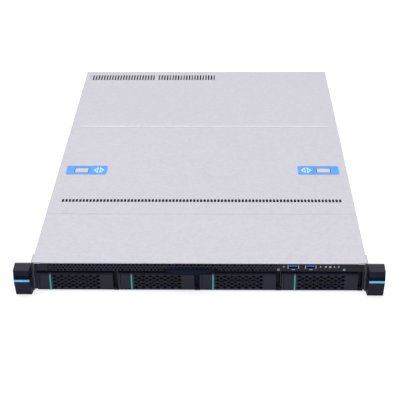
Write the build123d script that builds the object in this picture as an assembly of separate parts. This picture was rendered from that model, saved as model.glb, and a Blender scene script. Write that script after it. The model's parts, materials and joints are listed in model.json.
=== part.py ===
from build123d import *
import math
import os

# A 1U rack server in millimetres. X runs to the right seen from the front, Y from front
# to rear and Z up. The origin is on the underside, on the centre line, in the plane
# where the ears meet the rack. Every pair of values is (low, high) on its axis.

# Rack and chassis
RACK_WIDTH = 482.6
RACK_HOLE_INSET = 8.75
EAR_WIDTH = 22.3
CHASSIS_DEPTH = 650.0
SHEET = 1.0

# Clearances, and how far a cut runs past the face it opens
SHEET_GAP = 0.2
SEAT_GAP = 0.1
RUN_GAP = 0.05
MOVE_GAP = 0.3
LIFT = 0.4
OVERCUT = 1.0

# Small pins and their holes repeat, so they are drawn with flat sides
PIN_SIDES = 6
BORE_SIDES = 12
CORNER_STEPS = 2

# Tub and covers
COVER_FLANGE = 11.0
TUB_RAIL = 9.0
TUB_FRONT = 3.0
TUB_TAB_FRONT = -0.5
COVER_LIP = 0.8
FRONT_COVER_DEPTH = 126.5
COVER_TRAVEL = 14.0
TONGUE_REACH = 10.0
TONGUE_OVERLAP = 7.0
TONGUE_SIDE = 10.0
HOOK_LENGTH = 8.0
HOOK_HEIGHT = 2.0
HOOK_DROP = 6.0
HOOK_BITE = 0.4
HOOK_PLACES = (0.05, 0.43, 0.82)
VENT_PITCH = 5.0
VENT_HOLE = (3.4, 8.4)
VENT_SIDE = 14.5
VENT_Y = 165.3
SLOT_WIDTH = 2.5
SLOT_LENGTH = 23.0
SLOT_REAR = 15.6
SLOT_SIDE = 8.0
SLOT_COUNTS = (24, 21)
SLOT_BREAK = 5.0
BEAD_Y = 414.2
BEAD_WIDTH = 4.4
BEAD_DEPTH = 0.7
BEAD_SIDE = 13.5
LABEL_SIZE = (62.3, 28.2)
LABEL_SIDE = 42.9
LABEL_Y = 259.4
LABEL_SHEET = 0.2
LABEL_RADIUS = 3.0
LATCH_SIDE = 35.2
LATCH_SIZE = (20.0, 12.8)
LATCH_LEDGE = 3.0
LATCH_SHEET = 1.0
LATCH_GAP = 0.9
RAIL_SCREW_RADIUS = 2.1
RAIL_SCREW_HEIGHT = 16.0
RAIL_SCREW_Y = (260.0, 420.0)

# Drive bays, as many as fit across the chassis
BAY_SIDE_LEAST = 2.0
DRIVE_SIZE = (101.6, 147.0, 26.1)
DRIVE_FIT = 0.4
DRIVE_CORNER = 2.0
DRIVE_RIM = 3.0
DRIVE_LID = 1.2
DRIVE_FRONT = 18.0
CAGE_SHEET = 0.9
CAGE_FRONT = 4.0
CAGE_TAB = 5.0
TRAY_GAP = 0.45
TRAY_SHORT = 3.0
TRAY_RAIL = 1.65
TRAY_RAIL_HEIGHT = 18.0
CARRIER_FACE = -1.0
CARRIER_DROP = 1.2
FRAME_DEPTH = 15.0
FRAME_SHEET = 1.0
END_WALL = 2.9
BUTTON_WIDTH = 13.1
BUTTON_DEPTH = 4.0
TEAL_WIDTH = 1.9
TEAL_DEPTH = 2.4
TEAL_PROUD = 0.3
HINGE_SLOT = 5.3
HINGE_SLOT_DEPTH = 9.0
HINGE_INSET = 3.6
HINGE_DEPTH = 5.5
HINGE_WEB = 2.6
HINGE_PIN = 1.5
HINGE_BITE = 0.7
LEVER_SHEET = 1.8
MESH_CELL = (7.4, 4.7)
MESH_STEP = (4.76, 5.7)
MESH_EDGE = 1.0
MESH_END = 15.8
BACKPLANE_GAP = 6.5
BACKPLANE_SHEET = 1.6
CONNECTOR_SIZE = (42.0, 5.0, 6.0)

# Front strip, control panel and tag
BEZEL_FACE = 1.2
BEZEL_SHEET = 1.5
STRIP_HEIGHT = 11.3
BLANK_SIDE = 5.4
BLANK_WIDTH = 14.2
BLANK_PROUD = 0.8
BLANK_EDGE = 0.8
GRILLE_END = 3.0
GRILLE_CELL = (7.4, 5.6)
GRILLE_PITCH = 4.76
GRILLE_EDGE = 0.4
PANEL_SIDE = 5.6
PANEL_WIDTH = 112.0
PANEL_EDGE = 0.8
PANEL_FACE = 0.8
PANEL_DEPTH = 21.0
USB_COUNT = 2
USB_FIRST = 22.0
USB_PITCH = 22.8
USB_DROP = 3.6
USB_SIZE = (14.2, 5.8)
USB_LENGTH = 17.0
USB_WALL = 0.6
TONGUE_SIZE = (10.8, 2.2)
TONGUE_RECESS = 1.0
USB_BLOCK = 4.0
SWITCH_DROP = 3.1
POWER_SIDE = 24.0
POWER_RADIUS = 2.2
IDENTIFY_SIDE = 3.0
IDENTIFY_RADIUS = 1.5
SWITCH_PROUD = 0.4
SWITCH_LENGTH = 4.6
SWITCH_TRAVEL = 0.8
TAG_X = -12.9
TAG_WIDTH = 58.0
TAG_LENGTH = 94.0
TAG_SHEET = 0.9
TAG_ROOT = 62.6
TAG_TIP = 25.0
TAG_REACH = 8.5
TAG_HEIGHT = 4.9
TAG_BROW = 2.1

# Ears
EAR_SHEET = 1.6
EAR_LEG = 20.0
EAR_UNDER = 0.5
EAR_DROP = 0.2
EAR_SLOPE = 2.2
EAR_TOP_DEPTH = 16.6
EAR_NOSE = 18.3
EAR_FOOT_DEPTH = 11.5
EAR_FOOT = 1.4
EAR_BEVEL = 1.8
STRIPE_HEIGHT = 2.6
STRIPE_Z = 24.8
STRIPE_DEPTH = 1.5
STRIPE_PROUD = 0.2
GROOVE_HEIGHT = 0.8
GROOVE_DEPTH = 1.1
FLAP_WALL = 1.4
FLAP_AXIS = 2.1
FLAP_BARREL = 2.0
FLAP_PIN = 1.0
FLAP_PIN_BITE = 0.8
SPINE = 1.4
RACK_HEAD = (4.2, 6.0)
RACK_SLOT = 1.0
RACK_NECK = 2.0
RACK_THREAD = (2.5, 9.0)
HEAD_STAND = 1.9

# Fans
FANS = 4
FAN_HEADROOM = 1.2
FAN_DEPTH = 28.0
FAN_GAP = 12.9
FAN_SIDE = 8.8
FAN_WALL = 0.8
FAN_TIP_GAP = 1.2
FAN_HUB = 10.0
FAN_SHAFT = 1.5
FAN_PLATE = 4.0
FAN_STRUT = 3.0
BLADES = 6
BLADE_CHORD = 14.0
BLADE_SHEET = 1.0
BLADE_PITCH = 38.0

# Board, memory and heatsinks
BOARD_SIDE = 9.0
BOARD_GAP = 9.4
BOARD_FRONT = 82.0
BOARD_REAR = 4.0
BOARD_SHEET = 1.6
STANDOFF = 4.0
STANDOFF_RADIUS = 3.2
STANDOFF_EDGE = 8.0
PROCESSORS = 2
PROCESSOR_FRONT = 76.0
SOCKET_SIZE = (56.0, 70.0, 3.4)
SINK_SIZE = (78.0, 108.0)
SINK_HEADROOM = 5.6
SINK_BASE = 4.0
SINK_FINS = 7
FIN_SHEET = 2.0
MODULE_SIZE = (3.4, 133.0)
MODULE_HEADROOM = 3.6
MODULE_PITCH = 8.6
MODULE_SLOT = (6.0, 141.0, 2.4)
MODULE_CLEAR = 6.0

# Rear panel, ports and supplies
CARD_SIDE = 13.0
CARD_GAP = 12.0
CARD_UNDER = 19.0
CARD_TOP = 3.3
CARD_FOLD = 7.0
PORT_SIDE = 6.0
PORT_EDGE = 8.05
PORT_END = 22.5
PORT_WINDOW_HEIGHT = 18.0
REAR_SLOTS = 8
REAR_SLOT_WIDTH = 6.0
REAR_SLOT_UNDER = 3.5
REAR_SLOT_TOP = 4.3
PORT_PROUD = 1.0
JACKS = 3
JACK_SPLIT = 6.1
JACK_SIZE = (15.9, 21.0, 13.3)
JACK_HOLE = (11.7, 14.0, 8.0)
JACK_WALL = 2.0
HOST_SPLIT = 8.75
HOST_SIZE = (14.6, 17.0, 16.0)
HOST_HOLE = (12.6, 12.0, 5.4)
HOST_WALL = 1.6
DISPLAY_SPLIT = 17.2
DISPLAY_SIZE = (31.0, 14.0, 12.4)
DISPLAY_SHELL = (17.0, 6.0, 8.0)
DISPLAY_WALL = 0.6
SUPPLIES = 2
SUPPLY_SIZE = (54.4, 200.0)
SUPPLY_HEADROOM = 2.0
SUPPLY_SIDE = 0.6
SUPPLY_SPLIT = 4.0
SUPPLY_PROUD = 2.0
SUPPLY_BOARD = 2.0
SUPPLY_BOARD_GAP = 3.0
GRIP = (6.0, 36.0)
GRIP_REACH = 22.0
GRIP_BAR = 3.0
GRIP_HEIGHT = 7.0
GRIP_DROP = 8.2
INLET_X = (8.0, 32.0)
INLET_HEIGHT = 16.5
INLET_LIFT = 5.0
INLET_DEPTH = 18.0
BLADE_PIN = (2.0, 13.0, 4.0)
BLADE_PIN_OFFSET = 7.0
BLADE_PIN_RISE = 2.0
EXHAUST_SIDE = 8.4
EXHAUST_WIDTH = 10.0
EXHAUST_SLOTS = 3
EXHAUST_HEIGHT = 2.4
EXHAUST_DEPTH = 4.0
RELEASE_SIDE = 3.4
RELEASE_BARREL = 2.0
RELEASE_PIN = 1.0
RELEASE_STAND = 3.5
RELEASE_REACH = 21.0
RELEASE_SHEET = 2.0
RELEASE_HEIGHT = 12.0
RELEASE_LUG = 2.5
RELEASE_LIFT = 12.0

# Widths that follow from the sizes above
EAR_OUT = RACK_WIDTH / 2
RACK_X = EAR_OUT - RACK_HOLE_INSET
HALF = EAR_OUT - EAR_WIDTH
UPPER = HALF - SHEET - SHEET_GAP
INNER_LOW = HALF - SHEET
INNER_UP = UPPER - SHEET
RAIL_IN = UPPER - TUB_RAIL
EAR_IN = HALF + LIFT
LEG_OUT = HALF + EAR_SHEET
LABEL_X = HALF - LABEL_SIDE
LATCH_X = HALF - LATCH_SIDE
TRAY_WIDTH = DRIVE_SIZE[0] + 2 * (DRIVE_FIT + TRAY_RAIL)
BAY_PITCH = TRAY_WIDTH + 2 * TRAY_GAP + CAGE_SHEET
BAYS = int(2 * (HALF - BAY_SIDE_LEAST) / BAY_PITCH)
BAY_LEFT = -BAYS * BAY_PITCH / 2
BUTTON_X = (END_WALL + MOVE_GAP, END_WALL + MOVE_GAP + BUTTON_WIDTH)
TEAL_X = (BUTTON_X[1] + MOVE_GAP, BUTTON_X[1] + MOVE_GAP + TEAL_WIDTH)
LEVER_X = (TEAL_X[1] + MOVE_GAP, TRAY_WIDTH - HINGE_SLOT)
HINGE_X = LEVER_X[1] - HINGE_INSET
BLANK = (-HALF + BLANK_SIDE, -HALF + BLANK_SIDE + BLANK_WIDTH)
PANEL = (HALF - PANEL_SIDE - PANEL_WIDTH, HALF - PANEL_SIDE)
GRILLE = (BLANK[1] + GRILLE_END, PANEL[0] - GRILLE_END)
USB_X = [PANEL[0] + USB_FIRST + k * USB_PITCH for k in range(USB_COUNT)]
POWER_X = PANEL[1] - POWER_SIDE
IDENTIFY_X = PANEL[0] + IDENTIFY_SIDE
FLAP_X = EAR_OUT - FLAP_AXIS
FAN_SPACING = 2 * (INNER_UP - FAN_SIDE) / FANS
SUPPLY_RIGHT = INNER_UP - SUPPLY_SIDE
SUPPLY_LEFT = SUPPLY_RIGHT - SUPPLIES * SUPPLY_SIZE[0] - (SUPPLIES - 1) * SUPPLY_SPLIT
BOARD_X = (-HALF + BOARD_SIDE, SUPPLY_LEFT - BOARD_GAP)
PROCESSOR_ROOM = (BOARD_X[1] - BOARD_X[0]) / PROCESSORS
PROCESSOR_X = [BOARD_X[0] + (k + 0.5) * PROCESSOR_ROOM for k in range(PROCESSORS)]
MODULE_ROOM = PROCESSOR_ROOM - SINK_SIZE[0] - 2 * MODULE_CLEAR - MODULE_SLOT[0]
MODULES_PER_SIDE = int(MODULE_ROOM / 2 / MODULE_PITCH) + 1

# Heights, stacked from the floor up: together they just fit one 44.45 rack unit
DRIVE_Z = (SHEET + MOVE_GAP, SHEET + MOVE_GAP + DRIVE_SIZE[2])
CAGE_UNDER = DRIVE_Z[1] + LIFT
CAGE_TOP = CAGE_UNDER + CAGE_SHEET
TAG_Z = (CAGE_TOP + SEAT_GAP, CAGE_TOP + SEAT_GAP + TAG_SHEET)
STRIP_Z = (TAG_Z[1] + MOVE_GAP, TAG_Z[1] + MOVE_GAP + STRIP_HEIGHT)
RAIL_UNDER = STRIP_Z[1] + SHEET_GAP
RAIL_TOP = RAIL_UNDER + SHEET
COVER_UNDER = RAIL_TOP + SEAT_GAP
CHASSIS_HEIGHT = COVER_UNDER + SHEET
FLANGE_END = COVER_UNDER - COVER_FLANGE
LEDGE = FLANGE_END - SHEET_GAP
CARRIER_Z = (SHEET + LIFT, CAGE_UNDER - CARRIER_DROP)
WINDOW_Z = (CARRIER_Z[0] + FRAME_SHEET, CARRIER_Z[1] - FRAME_SHEET)
LEVER_Z = (WINDOW_Z[0] + MOVE_GAP, WINDOW_Z[1] - MOVE_GAP)
GRILLE_SPAN = (STRIP_Z[0] + GRILLE_EDGE, STRIP_Z[1] - GRILLE_EDGE)
GRILLE_ROWS = (GRILLE_SPAN[1] - GRILLE_CELL[1] / 2, GRILLE_SPAN[0] + GRILLE_CELL[1] / 2)
PANEL_OPENING_Z = (STRIP_Z[0] + PANEL_EDGE, STRIP_Z[1] - PANEL_EDGE)
USB_Z = PANEL_OPENING_Z[1] - USB_DROP
SWITCH_Z = PANEL_OPENING_Z[1] - SWITCH_DROP
EAR_TOP = CHASSIS_HEIGHT - EAR_DROP
RACK_Z = CHASSIS_HEIGHT / 2
FLAP_Z = (EAR_UNDER + EAR_FOOT + MOVE_GAP, STRIPE_Z - LIFT)
FAN_SIZE = COVER_UNDER - FAN_HEADROOM - SHEET - LIFT
FAN_Z = SHEET + LIFT + FAN_SIZE / 2
FAN_BORE = FAN_SIZE / 2 - FAN_WALL
FAN_TIP = FAN_BORE - FAN_TIP_GAP
BOARD_Z = (SHEET + STANDOFF, SHEET + STANDOFF + BOARD_SHEET)
PORT_WINDOW_Z = (BOARD_Z[1] - SEAT_GAP, BOARD_Z[1] - SEAT_GAP + PORT_WINDOW_HEIGHT)
REAR_SLOT_Z = (PORT_WINDOW_Z[1] + REAR_SLOT_UNDER, STRIP_Z[1] - REAR_SLOT_TOP)
CARD_Z = (CARD_UNDER, STRIP_Z[1] - CARD_TOP)
SUPPLY_Z = (SHEET + LIFT, COVER_UNDER - SUPPLY_HEADROOM)

# Depths that follow from the sizes above
TOP_COVER_FRONT = FRONT_COVER_DEPTH + MOVE_GAP
FRAME_BACK = CARRIER_FACE + FRAME_DEPTH
HINGE_Y = CARRIER_FACE + HINGE_DEPTH
DRIVE_Y = (DRIVE_FRONT, DRIVE_FRONT + DRIVE_SIZE[1])
BACKPLANE_Y = DRIVE_Y[1] + BACKPLANE_GAP
FLAP_Y = -EAR_SHEET - FLAP_AXIS - SEAT_GAP
FAN_Y = BACKPLANE_Y + BACKPLANE_SHEET + FAN_GAP
BOARD_Y = (FAN_Y + FAN_DEPTH + BOARD_FRONT, CHASSIS_DEPTH - BOARD_REAR)
PROCESSOR_Y = BOARD_Y[0] + PROCESSOR_FRONT
SUPPLY_Y = (CHASSIS_DEPTH + SUPPLY_PROUD - SUPPLY_SIZE[1], CHASSIS_DEPTH + SUPPLY_PROUD)
RELEASE_Y = SUPPLY_Y[1] + RELEASE_STAND

# Rear ports side by side, and the window and card slot that follow from them
JACK_PITCH = JACK_SIZE[0] + JACK_SPLIT
JACK_RUN = JACKS * JACK_PITCH - JACK_SPLIT
HOST_AT = PORT_EDGE + JACK_RUN + HOST_SPLIT + HOST_SIZE[0] / 2
DISPLAY_AT = HOST_AT + HOST_SIZE[0] / 2 + DISPLAY_SPLIT + DISPLAY_SIZE[0] / 2
PORT_RIGHT = BOARD_X[1] - PORT_SIDE
PORT_WINDOW = (PORT_RIGHT - DISPLAY_AT - DISPLAY_SIZE[0] / 2 - PORT_END, PORT_RIGHT)
JACK_X = [PORT_WINDOW[0] + PORT_EDGE + JACK_SIZE[0] / 2 + k * JACK_PITCH for k in range(JACKS)]
HOST_X = PORT_WINDOW[0] + HOST_AT
DISPLAY_X = PORT_WINDOW[0] + DISPLAY_AT
CARD_SLOT = (-HALF + CARD_SIDE, PORT_WINDOW[0] - CARD_GAP)


def lift_point(axis, level, u, v):
    """Place a flat point on the plane across the named axis."""
    if axis == "x":
        return (level, u, v)
    if axis == "y":
        return (u, level, v)
    return (u, v, level)


AXES = {"x": (1, 0, 0), "y": (0, 1, 0), "z": (0, 0, 1)}


def sheet(axis, outline, span, holes=()):
    """Extrude an outline with polygon holes along an axis."""
    low, high = span
    outer = Wire.make_polygon([lift_point(axis, low, *p) for p in outline])
    inner = [Wire.make_polygon([lift_point(axis, low, *p) for p in h]) for h in holes]
    return extrude(Face(outer, inner), high - low, dir=AXES[axis])


def rect(u, v):
    """Corner points of a rectangle given by two spans."""
    return [(u[0], v[0]), (u[1], v[0]), (u[1], v[1]), (u[0], v[1])]


def block(x, y, z):
    """A straight bar given by its three spans."""
    return sheet("z", rect(x, y), z)


def around(centre, size):
    """The span of a size laid about a centre."""
    return (centre - size / 2, centre + size / 2)


def rod(axis, centre, radius, span):
    """A round bar along an axis, its centre given on the other two axes."""
    turn = {"x": Rot(0, 90, 0), "y": Rot(90, 0, 0), "z": Rot(0, 0, 0)}[axis]
    middle = lift_point(axis, sum(span) / 2, *centre)
    return Pos(*middle) * turn * Cylinder(radius, span[1] - span[0])


def pin(axis, centre, radius, span, sides=PIN_SIDES):
    """A many-sided bar whose corners lie on the radius."""
    return sheet(axis, regular(centre, radius, sides), span)


def hole(axis, centre, radius, span, sides=PIN_SIDES):
    """A many-sided hole whose flats lie on the radius, so a pin turns freely in it."""
    return sheet(axis, regular(centre, radius / math.cos(math.pi / sides), sides), span)


def regular(centre, radius, sides, turn=0.0):
    """Corner points of a regular polygon."""
    steps = [turn + 2 * math.pi * k / sides for k in range(sides)]
    return [(centre[0] + radius * math.cos(s), centre[1] + radius * math.sin(s)) for s in steps]


def soft_rect(centre, size, radius):
    """A rectangle whose corners are rounded in short flats."""
    points = []
    for quarter, (sx, sy) in enumerate(((1, 1), (-1, 1), (-1, -1), (1, -1))):
        u = centre[0] + sx * (size[0] / 2 - radius)
        v = centre[1] + sy * (size[1] / 2 - radius)
        for k in range(CORNER_STEPS + 1):
            turn = math.pi / 2 * (quarter + k / CORNER_STEPS)
            points.append((u + radius * math.cos(turn), v + radius * math.sin(turn)))
    return points


def both_sides(points):
    """Close the right half of a section with its mirror image."""
    return points + [(-x, z) for x, z in reversed(points)]


def with_mirror(piece):
    """The right-hand piece and its left-hand twin as one node."""
    return Compound(children=[piece, mirror(piece, about=Plane.YZ)])


def group(pieces):
    """Several separate pieces as one node."""
    return Compound(children=list(pieces))


def tray_left(bay):
    return BAY_LEFT + bay * BAY_PITCH + CAGE_SHEET / 2 + TRAY_GAP


def shift(span, amount):
    return (span[0] + amount, span[1] + amount)


def tub_section():
    right = [
        (HALF, 0),
        (HALF, LEDGE),
        (UPPER, LEDGE),
        (UPPER, RAIL_TOP),
        (RAIL_IN, RAIL_TOP),
        (RAIL_IN, RAIL_UNDER),
        (INNER_UP, RAIL_UNDER),
        (INNER_UP, LEDGE - SHEET),
        (INNER_LOW, LEDGE - SHEET),
        (INNER_LOW, SHEET),
    ]
    return both_sides(right)


def hook_fronts():
    """Front ends of the cover hooks along the chassis."""
    run = CHASSIS_DEPTH - TOP_COVER_FRONT
    return [TOP_COVER_FRONT + share * run for share in HOOK_PLACES]


def hook_span():
    top = COVER_UNDER - HOOK_DROP
    return (top - HOOK_HEIGHT, top)


def hook_slots():
    """Slots in the tub wall for the right-hand cover hooks: a level run, then a way up."""
    low, high = hook_span()
    x = (INNER_UP - HOOK_BITE - MOVE_GAP, UPPER + SHEET_GAP / 2)
    slots = []
    for front in hook_fronts():
        run = (front - MOVE_GAP, front + HOOK_LENGTH + COVER_TRAVEL + MOVE_GAP)
        rise = (front + COVER_TRAVEL - MOVE_GAP, run[1])
        slots.append(block(x, run, (low - MOVE_GAP, high + MOVE_GAP)))
        slots.append(block(x, rise, (low, RAIL_TOP + SHEET)))
    return slots


def standoff_places():
    xs = (BOARD_X[0] + STANDOFF_EDGE, sum(BOARD_X) / 2 - STANDOFF_EDGE, BOARD_X[1] - STANDOFF_EDGE)
    ys = (BOARD_Y[0] + STANDOFF_EDGE, sum(BOARD_Y) / 2, BOARD_Y[1] - STANDOFF_EDGE)
    return [(x, y) for x in xs for y in ys]


def chassis_tub():
    tub = sheet("y", tub_section(), (0, CHASSIS_DEPTH))
    tub -= block((-HALF + SHEET, HALF - SHEET), (-OVERCUT, TUB_FRONT), (-OVERCUT, SHEET))
    slots = hook_slots()
    tub -= slots + [mirror(s, about=Plane.YZ) for s in slots]
    across = (-HALF - OVERCUT, HALF + OVERCUT)
    tub -= [rod("x", (y, RAIL_SCREW_HEIGHT), RAIL_SCREW_RADIUS, across) for y in RAIL_SCREW_Y]
    tabs = []
    for bay in range(BAYS):
        left = tray_left(bay)
        x = (left + LEVER_X[1] + MOVE_GAP, left + TRAY_WIDTH + 2 * TRAY_GAP + CAGE_SHEET)
        tabs.append(block(x, (TUB_TAB_FRONT, TUB_FRONT), (0, SHEET)))
    rise = (SHEET, BOARD_Z[0])
    posts = [sheet("z", regular(p, STANDOFF_RADIUS, PIN_SIDES), rise) for p in standoff_places()]
    return tub + tabs + posts


def cover_section():
    right = [
        (HALF, FLANGE_END),
        (HALF, CHASSIS_HEIGHT),
    ]
    inner = [
        (-HALF + SHEET, FLANGE_END),
        (-HALF + SHEET, COVER_UNDER),
        (HALF - SHEET, COVER_UNDER),
        (HALF - SHEET, FLANGE_END),
    ]
    return both_sides(right) + inner


def front_cover():
    cover = sheet("y", cover_section(), (0, FRONT_COVER_DEPTH))
    side = RAIL_IN - SHEET_GAP
    return cover + block((-side, side), (0, SHEET), (COVER_UNDER - COVER_LIP, COVER_UNDER))


def vent_holes():
    count = int(2 * (HALF - VENT_SIDE) / VENT_PITCH)
    first = -(count - 1) * VENT_PITCH / 2
    y = around(VENT_Y, VENT_HOLE[1])
    return [rect(around(first + k * VENT_PITCH, VENT_HOLE[0]), y) for k in range(count)]


def rear_vent_slots():
    y = (CHASSIS_DEPTH - SLOT_REAR - SLOT_LENGTH, CHASSIS_DEPTH - SLOT_REAR)
    holes = []
    x = -HALF + SLOT_SIDE
    for count in SLOT_COUNTS:
        for k in range(count):
            holes.append(rect((x, x + SLOT_WIDTH), y))
            x += VENT_PITCH
        x += SLOT_BREAK
    return holes


def latch_opening(side):
    x = around(side * LATCH_X, LATCH_SIZE[0] + 2 * LATCH_GAP)
    return rect(x, around(LABEL_Y, LATCH_SIZE[1] + 2 * LATCH_GAP))


def cover_hooks():
    low, high = hook_span()
    x = (INNER_UP - HOOK_BITE, HALF - SHEET)
    return [block(x, (f, f + HOOK_LENGTH), (low, high)) for f in hook_fronts()]


def bead(level):
    """The pressed groove across the cover, hung from a level."""
    edge = BEAD_DEPTH
    y = around(BEAD_Y, BEAD_WIDTH)
    foot = (y[0] + edge, y[1] - edge)
    section = [(y[0], level), (foot[0], level - BEAD_DEPTH), (foot[1], level - BEAD_DEPTH), (y[1], level)]
    return sheet("x", section, around(0, 2 * (HALF - BEAD_SIDE)))


def top_cover():
    holes = vent_holes() + rear_vent_slots() + [latch_opening(-1), latch_opening(1)]
    y = (TOP_COVER_FRONT, CHASSIS_DEPTH)
    plate = sheet("z", rect((-HALF, HALF), y), (COVER_UNDER, CHASSIS_HEIGHT), holes)
    plate = plate + bead(COVER_UNDER) - bead(CHASSIS_HEIGHT)
    flange = [block((HALF - SHEET, HALF), y, (FLANGE_END, COVER_UNDER))] + cover_hooks()
    twins = [mirror(piece, about=Plane.YZ) for piece in flange]
    side = RAIL_IN - TONGUE_SIDE
    reach = (TOP_COVER_FRONT - TONGUE_REACH, TOP_COVER_FRONT + TONGUE_OVERLAP)
    tongue = block((-side, side), reach, (COVER_UNDER - SHEET, COVER_UNDER - SEAT_GAP))
    root = block((-side, side), (TOP_COVER_FRONT, reach[1]), (COVER_UNDER - SHEET, COVER_UNDER))
    return plate + flange + twins + [tongue, root]


def cover_label(side):
    outline = soft_rect((side * LABEL_X, LABEL_Y), LABEL_SIZE, LABEL_RADIUS)
    return sheet("z", outline, (CHASSIS_HEIGHT, CHASSIS_HEIGHT + LABEL_SHEET), [latch_opening(side)])


def cover_latch(side):
    top = CHASSIS_HEIGHT - SEAT_GAP
    ledge_top = COVER_UNDER - MOVE_GAP
    x, y = around(side * LATCH_X, LATCH_SIZE[0]), around(LABEL_Y, LATCH_SIZE[1])
    pad = block(x, y, (ledge_top - LATCH_SHEET, top))
    wide = (x[0] - LATCH_LEDGE, x[1] + LATCH_LEDGE)
    long = (y[0] - LATCH_LEDGE, y[1] + LATCH_LEDGE)
    return pad + block(wide, long, (ledge_top - LATCH_SHEET, ledge_top))


def rear_panel():
    gap = SHEET_GAP
    right = [
        (INNER_LOW - gap, SHEET),
        (INNER_LOW - gap, LEDGE - SHEET - gap),
        (INNER_UP - gap, LEDGE - SHEET - gap),
        (INNER_UP - gap, STRIP_Z[1]),
    ]
    holes = [rect(CARD_SLOT, CARD_Z), rect(PORT_WINDOW, PORT_WINDOW_Z)]
    pitch = (PORT_WINDOW[1] - PORT_WINDOW[0]) / REAR_SLOTS
    for k in range(REAR_SLOTS):
        x = around(PORT_WINDOW[0] + (k + 0.5) * pitch, REAR_SLOT_WIDTH)
        holes.append(rect(x, REAR_SLOT_Z))
    panel = sheet("y", both_sides(right), (CHASSIS_DEPTH - SHEET, CHASSIS_DEPTH), holes)
    x = (SUPPLY_LEFT - MOVE_GAP, HALF)
    return panel - block(x, (CHASSIS_DEPTH - 2 * SHEET, CHASSIS_DEPTH + OVERCUT), (0, CHASSIS_HEIGHT))


def drive_cage():
    plate_x = (BAY_LEFT - CAGE_SHEET / 2, -BAY_LEFT + CAGE_SHEET / 2)
    y = (CAGE_FRONT, BACKPLANE_Y - MOVE_GAP)
    cage = block(plate_x, y, (CAGE_UNDER, CAGE_TOP))
    walls = []
    for k in range(BAYS + 1):
        x = around(BAY_LEFT + k * BAY_PITCH, CAGE_SHEET)
        walls.append(block(x, y, (SHEET, CAGE_UNDER)))
    for k in (1, BAYS - 1):
        x = around(BAY_LEFT + k * BAY_PITCH, CAGE_SHEET)
        tab = (CAGE_FRONT, CAGE_FRONT + CAGE_TAB)
        walls.append(block(x, tab, (CAGE_TOP, STRIP_Z[0])))
    return cage + walls


def mesh_cell(x, z, size):
    wide, high = size[0] / 2, size[1] / 2
    return [(x + wide, z), (x, z + high), (x - wide, z), (x, z - high)]


def grille_holes():
    """Mesh of the strip: the cells step across by turns in an upper and a lower row."""
    count = int((GRILLE[1] - GRILLE[0] - GRILLE_CELL[0]) / GRILLE_PITCH) + 1
    first = sum(GRILLE) / 2 - (count - 1) * GRILLE_PITCH / 2
    return [mesh_cell(first + k * GRILLE_PITCH, GRILLE_ROWS[k % 2], GRILLE_CELL) for k in range(count)]


def front_bezel():
    gap = SHEET_GAP
    post = -BAY_LEFT - CAGE_SHEET / 2
    right = [
        (post, STRIP_Z[0]),
        (post, SHEET + gap),
        (INNER_LOW - gap, SHEET + gap),
        (INNER_LOW - gap, LEDGE - SHEET - gap),
        (INNER_UP - gap, LEDGE - SHEET - gap),
        (INNER_UP - gap, STRIP_Z[1]),
    ]
    y = (BEZEL_FACE, BEZEL_FACE + BEZEL_SHEET)
    holes = grille_holes() + [rect(PANEL, PANEL_OPENING_Z)]
    bezel = sheet("y", both_sides(right), y, holes)
    z = (STRIP_Z[0] + BLANK_EDGE, STRIP_Z[1] - BLANK_EDGE)
    return bezel + block(BLANK, (BEZEL_FACE - BLANK_PROUD, BEZEL_FACE), z)


def control_panel():
    x = (PANEL[0] + SHEET_GAP, PANEL[1] - SHEET_GAP)
    z = (PANEL_OPENING_Z[0] + SHEET_GAP, PANEL_OPENING_Z[1] - SHEET_GAP)
    panel = block(x, (PANEL_FACE, PANEL_FACE + PANEL_DEPTH), z)
    pockets = [block(around(u, USB_SIZE[0]), (-OVERCUT, PANEL_FACE + USB_LENGTH), usb_z()) for u in USB_X]
    back = PANEL_FACE + SWITCH_LENGTH + 2 * SWITCH_TRAVEL
    for at, radius in ((POWER_X, POWER_RADIUS), (IDENTIFY_X, IDENTIFY_RADIUS)):
        pockets.append(hole("y", (at, SWITCH_Z), radius + RUN_GAP, (-OVERCUT, back), BORE_SIDES))
    return panel - pockets


def usb_z():
    return around(USB_Z, USB_SIZE[1])


def usb_inside(at):
    x = around(at, USB_SIZE[0] - 2 * USB_WALL)
    return x, around(USB_Z, USB_SIZE[1] - 2 * USB_WALL)


def usb_shell(at):
    x, z = around(at, USB_SIZE[0]), usb_z()
    y = (PANEL_FACE - SEAT_GAP, PANEL_FACE + USB_LENGTH)
    return sheet("y", rect(x, z), y, [rect(*usb_inside(at))])


def usb_tongue(at):
    x, z = usb_inside(at)
    back = PANEL_FACE + USB_LENGTH
    base = block(x, (back - USB_BLOCK, back), z)
    tongue_z = (z[1] - SEAT_GAP - TONGUE_SIZE[1], z[1] - SEAT_GAP)
    y = (PANEL_FACE + TONGUE_RECESS, back - USB_BLOCK)
    return base + block(around(at, TONGUE_SIZE[0]), y, tongue_z)


def switch(at, radius):
    front = PANEL_FACE - SWITCH_PROUD
    return pin("y", (at, SWITCH_Z), radius, (front, front + SWITCH_LENGTH), BORE_SIDES)


def pull_tag():
    x = around(TAG_X, TAG_WIDTH)
    root = BEZEL_FACE - MOVE_GAP
    card = block(x, (root, root + TAG_LENGTH), TAG_Z)
    front = root - TAG_REACH
    top = TAG_Z[0] + TAG_HEIGHT
    brow = root - TAG_BROW
    nose = TAG_Z[0] + 2 * TAG_SHEET
    section = [(root, TAG_Z[0]), (root, top), (brow, top), (front, nose), (front, TAG_Z[0])]
    grip = sheet("x", section, around(TAG_X, TAG_ROOT))
    wide, narrow = around(TAG_X, TAG_ROOT), around(TAG_X, TAG_TIP)
    plan = [(wide[0], root), (narrow[0], front), (narrow[1], front), (wide[1], root)]
    return card + (grip & sheet("z", plan, (0, CHASSIS_HEIGHT)))


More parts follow.
